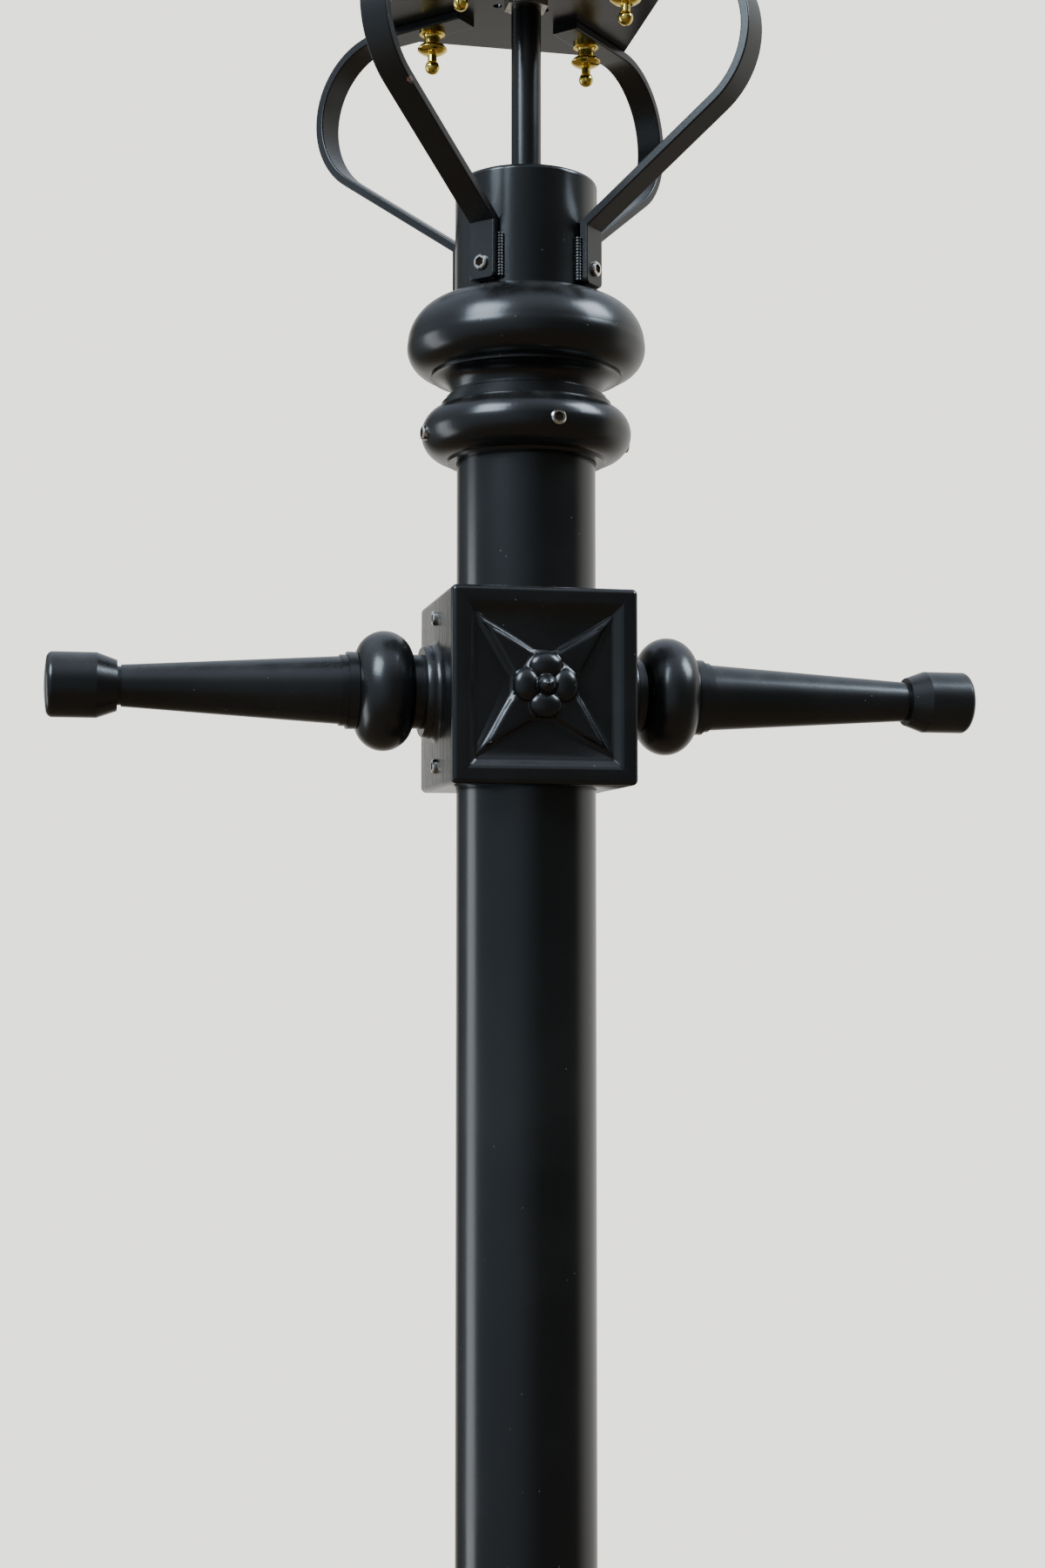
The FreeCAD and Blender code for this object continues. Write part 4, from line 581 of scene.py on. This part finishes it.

# %% [markdown]
# ## Painted shade in the sockets
# The set screws' hex sockets are deep recesses, and shade lies inside them. The screws' own finish can't tell the
# socket from the head, so a dark six-sided plug sits in each, almost to the rim: painted shade that stands in for
# the shadow in the recess. Every screw is found as a loose part of its node's mesh, so the plugs follow the screws.

# %% Painted socket shade
# A near-black brown finish for the plugs: painted shade for the inside of the sockets, not a colour of the screws.
socket_shade = Finish("painted_socket_shade", specular_ior_level=0.08)
lumps = socket_shade.cloud(900, 4)
socket_shade.set(base_color=socket_shade.blend(lumps, (0.022, 0.013, 0.006), (0.006, 0.004, 0.003)),
          roughness=lumps * 0.3 + 0.6, normal=socket_shade.bump(lumps, 0.1 * MM))
print("grime mixed")

# %% Plugs of painted shade in the screws' sockets
SOCKET_DEEP = 4 * MM
PLUG_RADIUS = 2.6 * MM
PLUG_TALL = 3.3 * MM
SCREW_NODES = ("collar_grub_screws", "strap_grub_screws", "ladder_block_screws")


def loose_parts(node):
    """The places of the vertices of each separate solid in a node's mesh."""
    mesh = bmesh.new()
    mesh.from_mesh(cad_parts[node].data)
    bmesh.ops.remove_doubles(mesh, verts=mesh.verts, dist=CAD_MERGE)
    found = set()
    for first in mesh.verts:
        if first in found:
            continue
        found.add(first)
        part = [first]
        for vert in part:
            fresh = [edge.other_vert(vert) for edge in vert.link_edges]
            fresh = [other for other in fresh if other not in found]
            found.update(fresh)
            part.extend(fresh)
        yield [vert.co.copy() for vert in part]
    mesh.free()


# Each plug fills its socket to a little below the rim, as painted shade.
plugs = bmesh.new()
for node in SCREW_NODES:
    for corners in loose_parts(node):
        core = (Vector(map(min, zip(*corners))) + Vector(map(max, zip(*corners)))) / 2
        outwards = Vector((core.x, core.y, 0)).normalized()
        head = max(corner.dot(outwards) for corner in corners)
        plug_middle = core + outwards * (head - SOCKET_DEEP - core.dot(outwards) + PLUG_TALL / 2)
        bmesh.ops.create_cone(plugs, cap_ends=True, segments=6, radius1=PLUG_RADIUS, radius2=PLUG_RADIUS,
                              depth=PLUG_TALL, matrix=along(plug_middle, outwards))
add_piece("socket_shade_plugs", plugs, "post", socket_shade.material)

# %% [markdown]
# ## The softened block
# The ladder block is a sand casting under thick paint, so no edge of its relief is crisp. The designed block has
# the right shape with sharp edges. A remesh would soften it all alike, and lose its bores. Instead, its finer twin
# starts as a copy of that mesh with its doubles merged, and each long sharp edge of the front and rear is rounded
# with a bevel. A thin rim is then inset into each flat, so that the shading of the rounded edges ends there.

# %% Block with rounded relief
BLOCK_EDGE = 1.2 * MM
SHARP = math.radians(14)
LONG_EDGE = 5 * MM
RELIEF_FROM = 40 * MM
FLAT_AREA = 12 * MM * MM
FLAT_RIM = 0.2 * MM
SQUARE_ON = 0.9

block = bmesh.new()
block.from_mesh(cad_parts["ladder_block"].data)
bmesh.ops.remove_doubles(block, verts=block.verts, dist=CAD_MERGE)
crisp = [edge for edge in block.edges if len(edge.link_faces) == 2 and edge.calc_face_angle(0) > SHARP
         and edge.calc_length() > LONG_EDGE and min(abs(vert.co.y) for vert in edge.verts) > RELIEF_FROM]
print("crisp edges", len(crisp), "of", len(block.edges))
bmesh.ops.bevel(block, geom=crisp, offset=BLOCK_EDGE, segments=3, profile=0.5, affect="EDGES", material=-1)
flats = [face for face in block.faces if face.calc_area() > FLAT_AREA and abs(face.normal.y) > SQUARE_ON]
bmesh.ops.inset_region(block, faces=flats, thickness=FLAT_RIM, use_boundary=True, use_even_offset=False)
bmesh.ops.dissolve_degenerate(block, dist=MERGE, edges=block.edges)
add_piece("block_casting", block, "post", block_paint.material, ["ladder_block"])

# %% [markdown]
# ## Glazing beads
# A lantern's panes are held from inside by thin beads pressed into putty. Four bars could be laid round each pane,
# but their mitred ends would have to be worked out for a leaning, tapering wall. Each bead is made from its pane
# instead: a copy of the pane's mesh is merged and cleaned, and only its inner face is kept. That face is inset by
# the bead's width and emptied in the middle, and the ring that is left is drawn inwards and rounded.

# %% A flat ring drawn up into a moulding
def moulding_ring(mesh, face, wide, rise, edge_size, edge_steps):
    """Empties the middle of a face, draws the ring that is left along a vector, and rounds its far edges."""
    bmesh.ops.inset_region(mesh, faces=[face], thickness=wide, use_boundary=True, use_even_offset=True)
    bmesh.ops.delete(mesh, geom=[face], context="FACES")
    drawn = bmesh.ops.extrude_face_region(mesh, geom=mesh.faces[:], use_keep_orig=True)["geom"]
    raised = [item for item in drawn if isinstance(item, bmesh.types.BMVert)]
    bmesh.ops.translate(mesh, vec=rise, verts=raised)
    rims = [edge for edge in mesh.edges if all(vert in raised for vert in edge.verts)]
    rims = [edge for edge in rims if edge.calc_face_angle(0) > 1]
    bmesh.ops.bevel(mesh, geom=rims, offset=edge_size, segments=edge_steps, profile=0.5, affect="EDGES",
                    material=-1)


print("moulding tool ready")

# %% Beads made from the panes
BEAD_WIDE = 5 * MM
BEAD_DEEP = 3.2 * MM
BEAD_EDGE = 1 * MM
COPLANAR = math.radians(1)


def face_like(node, direction):
    """A bmesh of a node's one largest face that looks along a direction."""
    mesh = bmesh.new()
    mesh.from_mesh(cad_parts[node].data)
    bmesh.ops.remove_doubles(mesh, verts=mesh.verts, dist=CAD_MERGE)
    bmesh.ops.dissolve_limit(mesh, angle_limit=COPLANAR, verts=mesh.verts, edges=mesh.edges)
    kept = max(mesh.faces, key=lambda face: face.normal.dot(direction) * face.calc_area())
    bmesh.ops.delete(mesh, geom=[face for face in mesh.faces if face != kept], context="FACES")
    mesh.faces.ensure_lookup_table()
    return mesh


def glazing_bead(name, pane_node, outwards, body, deep=BEAD_DEEP):
    """A bead round the inner side of a pane."""
    mesh = face_like(pane_node, -outwards)
    face = mesh.faces[0]
    moulding_ring(mesh, face, BEAD_WIDE, face.normal * deep, BEAD_EDGE, 3)
    add_piece(name, mesh, body, bar_paint.material)


glazing_bead("glazing_bead_left", "glass_pane_left", Vector((-1, 0, 0)), "post")
glazing_bead("glazing_bead_right", "glass_pane_right", Vector((1, 0, 0)), "post")
glazing_bead("glazing_bead_rear", "glass_pane_rear", Vector((0, 1, 0)), "post")
glazing_bead("glazing_bead_door", "lantern_door_glass", Vector((0, -1, 0)), "lantern_door", BEAD_DEEP / 2)

# %% [markdown]
# ## Hip rolls and rivets
# Where two roof slopes meet, a sheet roof is covered by a half-round roll with a rounded end. The rolls run
# between the eave and the vent, so their ends are read from the roof's own mesh. Rivets hold the corner bars to
# the rails, and the eave to the roof. Each is a low dome, spun from the six points of its side view.

# %% Side views of rods and rivets
RIVET_RADIUS = 2.6 * MM
RIVET_TALL = 1.5 * MM


def rod_view(radius, length):
    """The side view of a rod with rounded ends."""
    end = [(0, 0), (0.7 * radius, 0.1 * radius), (0.95 * radius, 0.5 * radius), (radius, radius)]
    return end + [(out, length - up) for out, up in reversed(end)]


def rivet(mesh, at, direction, radius=RIVET_RADIUS, tall=RIVET_TALL):
    """A low domed head that stands on a surface, with its foot a little way in."""
    view = [(0, -0.3 * tall), (radius, -0.3 * tall), (radius, 0.15 * tall), (0.86 * radius, 0.6 * tall),
            (0.5 * radius, 0.92 * tall), (0, tall)]
    turn(mesh, view, along(at, direction), 16)


print("side views ready")

# %% Hip rolls
ROLL_RADIUS = 4.2 * MM
BRIM_ABOVE_FOOT = 12 * MM
BRIM_INSET = 10 * MM
ROLL_INSET = 2 * MM
ROLL_LIFT = 1 * MM
SLICE = 1.5 * MM


def half_width(node, level):
    """Half a node's width near a height, read from its mesh."""
    return max(vert.co.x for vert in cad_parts[node].data.vertices if abs(vert.co.z - level) < SLICE)


roof_low, roof_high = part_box("roof_shell")
eave_level = roof_low.z + BRIM_ABOVE_FOOT
brim = half_width("roof_shell", eave_level) - BRIM_INSET
roof_top_half = half_width("roof_shell", roof_high.z)
foot = Vector((brim * math.sqrt(2) - ROLL_INSET, 0, eave_level + ROLL_LIFT))
top = Vector((roof_top_half * math.sqrt(2), 0, roof_high.z))
rolls = bmesh.new()
for corner in CORNERS:
    turn(rolls, rod_view(ROLL_RADIUS, (top - foot).length), turned(corner) @ along(foot, top - foot), 16)
add_piece("hip_rolls", rolls, "post", bar_paint.material)

# %% [markdown]
# The lantern's walls lean outwards. How much they lean is read from a corner bar, and one function then gives the
# place of a point on a wall by its height, so that every rivet sits on its wall even if the lantern grows.

# %% Rivets on the bars and the roof
RIVET_INSET = 6.5 * MM
EAVE_INSET = 9 * MM
EAVE_PITCH = 58 * MM
EAVE_RIVETS = range(-2, 3)

plate_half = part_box("lantern_base_plate")[1].x
bar_low, bar_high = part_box("corner_bar_rear_left")
spread = (bar_high.y - plate_half) / (bar_high.z - bar_low.z)
lean = math.atan(spread)
wall_out = Vector((0, -math.cos(lean), -math.sin(lean)))


def wall_half(level):
    """How far the lantern's walls stand from its middle at a height."""
    return plate_half + spread * (level - bar_low.z)


heads = bmesh.new()
for wall in (angle for angle in WALLS if angle != FRONT_WALL):
    for level in (bar_low.z + RIVET_INSET, bar_high.z - RIVET_INSET):
        out = wall_half(level)
        for side in (-1, 1):
            spot = turned(wall) @ Vector((side * (out - RIVET_INSET), -out, level))
            rivet(heads, spot, turned(wall) @ wall_out)
slope = Vector((brim - roof_top_half, 0, eave_level - roof_high.z)).normalized()
slope_out = Vector((-slope.z, 0, slope.x))
for wall in WALLS:
    for step in EAVE_RIVETS:
        spot = Vector((brim, 0, eave_level)) - slope * EAVE_INSET + Vector((0, step * EAVE_PITCH, 0))
        rivet(heads, turned(wall) @ spot, turned(wall) @ slope_out)
add_piece("frame_rivets", heads, "post", bar_paint.material)

# %% [markdown]
# The door has rivets of its own, beside each hinge barrel. They ride on the door, so they are a piece apart.

# %% Door rivets
DOOR_RIVET_RADIUS = 2.2 * MM
DOOR_RIVET_TALL = 1.2 * MM
DOOR_RIVETS_BELOW_PIN = (4 * MM, 12 * MM)
DOOR_RIVET_FROM_EDGE = 13 * MM
DOOR_FACE = 6.4 * MM

half_way = middle("lantern_door_hinge_pins").z
pin_points = [vert.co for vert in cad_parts["lantern_door_hinge_pins"].data.vertices]
door_heads = bmesh.new()
for is_upper in (False, True):
    pin_top = max(co.z for co in pin_points if (co.z > half_way) == is_upper)
    for below in DOOR_RIVETS_BELOW_PIN:
        level = pin_top - below
        out = wall_half(level)
        spot = Vector((DOOR_RIVET_FROM_EDGE - out, -out, level)) + wall_out * DOOR_FACE
        rivet(door_heads, spot, wall_out, DOOR_RIVET_RADIUS, DOOR_RIVET_TALL)
add_piece("door_rivets", door_heads, "lantern_door", bar_paint.material)

# %% [markdown]
# ## The globe's gallery
# The opal globe stands in a spun brass ring with three thumbscrews that stop it rattling. The ring is a turned
# wall with a rolled lip, and each thumbscrew has a shank and a disc head with a waist.

# %% Gallery ring
GALLERY_RADIUS = 21 * MM
GALLERY_BORE = 17.2 * MM
GALLERY_TALL = 11 * MM
GALLERY_SHEET = 1.2 * MM
GALLERY_DOWN = 7 * MM

holder_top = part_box("lamp_holder")[1].z
gallery = bmesh.new()
seat = Matrix.Translation((0, 0, holder_top - GALLERY_DOWN))
turn(gallery, [(GALLERY_BORE, 0), (GALLERY_RADIUS - 1 * MM, 0), (GALLERY_RADIUS, 1.5 * MM),
               (GALLERY_RADIUS, GALLERY_TALL - 2 * MM), (GALLERY_RADIUS + GALLERY_SHEET, GALLERY_TALL - 0.9 * MM),
               (GALLERY_RADIUS, GALLERY_TALL), (GALLERY_RADIUS - GALLERY_SHEET, GALLERY_TALL - 1 * MM),
               (GALLERY_RADIUS - GALLERY_SHEET, 2 * GALLERY_SHEET), (GALLERY_BORE, GALLERY_SHEET),
               (GALLERY_BORE, 0)], seat, 48)
print("gallery ring tall", GALLERY_TALL)

# %% Thumbscrews
SCREW_TURNS = (30, 150, 270)
SCREW_DOWN = 2.5 * MM
SCREW_IN = 3 * MM
THUMBSCREW = [(0, 0), (1.2, 0), (1.2, 6), (2.2, 7), (3.6, 7.6), (3.9, 9), (3.6, 10.4), (0, 10.8)]

screw_view = [(radius * MM, height * MM) for radius, height in THUMBSCREW]
for angle in SCREW_TURNS:
    direction = turned(angle) @ Vector((1, 0, 0))
    start = direction * (GALLERY_RADIUS - SCREW_IN) + Vector((0, 0, holder_top - SCREW_DOWN))
    turn(gallery, screw_view, along(start, direction), 16)
add_piece("globe_gallery", gallery, "post", old_brass)

# %% [markdown]
# ## Vent gauze
# Woven wire behind the vent's holes keeps insects out of the lantern. Crossed wires show through the holes as a
# grid, so each is a thin six-sided rod, and the four screens are turns of one.

# %% Gauze
GAUZE_PITCH = 5 * MM
GAUZE_BEHIND = 5 * MM
WIRE_RADIUS = 0.5 * MM
UPRIGHTS, UPRIGHT_FOOT, UPRIGHT_TALL = range(-5, 6), 8 * MM, 24 * MM
CROSSWIRES, CROSSWIRE_FOOT, CROSSWIRE_LONG = range(5), 10 * MM, 56 * MM


def gauze_wire(mesh, wall, start, run):
    """A thin rod from a point along a vector, turned to a wall."""
    start, run = turned(wall) @ start, turned(wall) @ run
    bmesh.ops.create_cone(mesh, cap_ends=True, segments=6, radius1=WIRE_RADIUS, radius2=WIRE_RADIUS,
                          depth=run.length, matrix=along(start + run / 2, run))


vent_low, vent_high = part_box("roof_vent")
screen = GAUZE_BEHIND - vent_high.x
gauze = bmesh.new()
for wall in WALLS:
    for step in UPRIGHTS:
        foot = Vector((step * GAUZE_PITCH, screen, vent_low.z + UPRIGHT_FOOT))
        gauze_wire(gauze, wall, foot, UP * UPRIGHT_TALL)
    for step in CROSSWIRES:
        level = vent_low.z + CROSSWIRE_FOOT + step * GAUZE_PITCH
        end = Vector((-CROSSWIRE_LONG / 2, screen + 2 * WIRE_RADIUS, level))
        gauze_wire(gauze, wall, end, Vector((CROSSWIRE_LONG, 0, 0)))
add_piece("vent_gauze", gauze, "post", stainless)

# %% [markdown]
# ## The pedestal's cast panels
# Three sides of the case have a sunk panel. Founders dress such a panel with a moulding round its edge and an
# ornament in its middle, and the star of the ladder block is repeated here. The moulding is a rectangle that is
# emptied, drawn up and rounded, as the glazing beads are. The star is a circle of eight points with every other
# one drawn in; it is extruded for its foot, and poked for its four ridges and hollows.

# %% Mouldings and stars
PANEL_BED = 79 * MM
PANEL_LOW, PANEL_HIGH = 84 * MM, 386 * MM
PANEL_HALF = 58 * MM
MOULDING_IN = 8 * MM
MOULDING_WIDE = 7 * MM
MOULDING_TALL = 2.2 * MM
MOULDING_EDGE = 1.9 * MM
STAR_REACH = 34 * MM
STAR_WAIST = 0.3
STAR_FOOT = 0.8 * MM
STAR_TALL = 3.4 * MM


def cast_panel(mesh, place):
    """Adds a raised moulding and a star to a mesh, on a panel that lies in a place's XY plane."""
    half, tall = PANEL_HALF - MOULDING_IN, (PANEL_HIGH - PANEL_LOW) / 2 - MOULDING_IN
    sheet = bmesh.new()
    bmesh.ops.create_grid(sheet, x_segments=1, y_segments=1, size=1, matrix=Matrix.Diagonal((half, tall, 1, 1)))
    sheet.faces.ensure_lookup_table()
    moulding_ring(sheet, sheet.faces[0], MOULDING_WIDE, UP * MOULDING_TALL, MOULDING_EDGE, 4)
    points = bmesh.ops.create_circle(sheet, cap_ends=True, radius=STAR_REACH, segments=8)["verts"]
    for point in points[1::2]:
        point.co *= STAR_WAIST
    drawn = bmesh.ops.extrude_face_region(sheet, geom=[points[0].link_faces[0]], use_keep_orig=True)["geom"]
    raised = [item for item in drawn if isinstance(item, bmesh.types.BMVert)]
    bmesh.ops.translate(sheet, vec=UP * STAR_FOOT, verts=raised)
    top = [item for item in drawn if isinstance(item, bmesh.types.BMFace)]
    bmesh.ops.poke(sheet, faces=top, offset=STAR_TALL)
    bmesh.ops.recalc_face_normals(sheet, faces=sheet.faces)
    bmesh.ops.transform(sheet, matrix=place, verts=sheet.verts)
    carrier = bpy.data.meshes.new("panel_carrier")
    sheet.to_mesh(carrier)
    sheet.free()
    mesh.from_mesh(carrier)
    bpy.data.meshes.remove(carrier)


upright = Matrix.Translation((0, -PANEL_BED, (PANEL_LOW + PANEL_HIGH) / 2)) @ Matrix.Rotation(math.pi / 2, 4, "X")
panels = bmesh.new()
for wall in (angle for angle in WALLS if angle != FRONT_WALL):
    cast_panel(panels, turned(wall) @ upright)
add_piece("case_panels", panels, "post", rough_cast_paint.material)

# %% [markdown]
# ## Inside the pedestal
# The supply cut-out's cover is held by two domed brass screws. A fuse carrier is pulled out by hand, so its cover
# has a grip of five ribs, each a short rod with rounded ends that is half sunk in the cover.

# %% Cover screws
LID_SCREW_INSET = 9 * MM
LID_SCREW_RADIUS = 4 * MM
LID_SCREW_TALL = 2.4 * MM

lid_low, lid_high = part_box("cut_out_lid")
screws = bmesh.new()
for level in (lid_low.z + LID_SCREW_INSET, lid_high.z - LID_SCREW_INSET):
    rivet(screws, Vector((0, lid_low.y, level)), Vector((0, -1, 0)), LID_SCREW_RADIUS, LID_SCREW_TALL)
add_piece("lid_screws", screws, "post", old_brass)

# %% Fuse grip
RIB_RADIUS = 2.4 * MM
RIB_LONG = 30 * MM
RIB_PITCH = 6 * MM
RIBS = range(-2, 3)

grip = bmesh.new()
for rib in RIBS:
    spot = Vector((-RIB_LONG / 2, lid_low.y, middle("cut_out_lid").z + rib * RIB_PITCH))
    turn(grip, rod_view(RIB_RADIUS, RIB_LONG), along(spot, (1, 0, 0)), 12)
add_piece("fuse_grip", grip, "post", moulding)

# %% [markdown]
# ## Finish
# The box of what is shown is kept beside the box that was loaded, so that the two can be compared.

# %% Sizes and the end
[[list(corner) for corner in box] for box in (cad_box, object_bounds())]
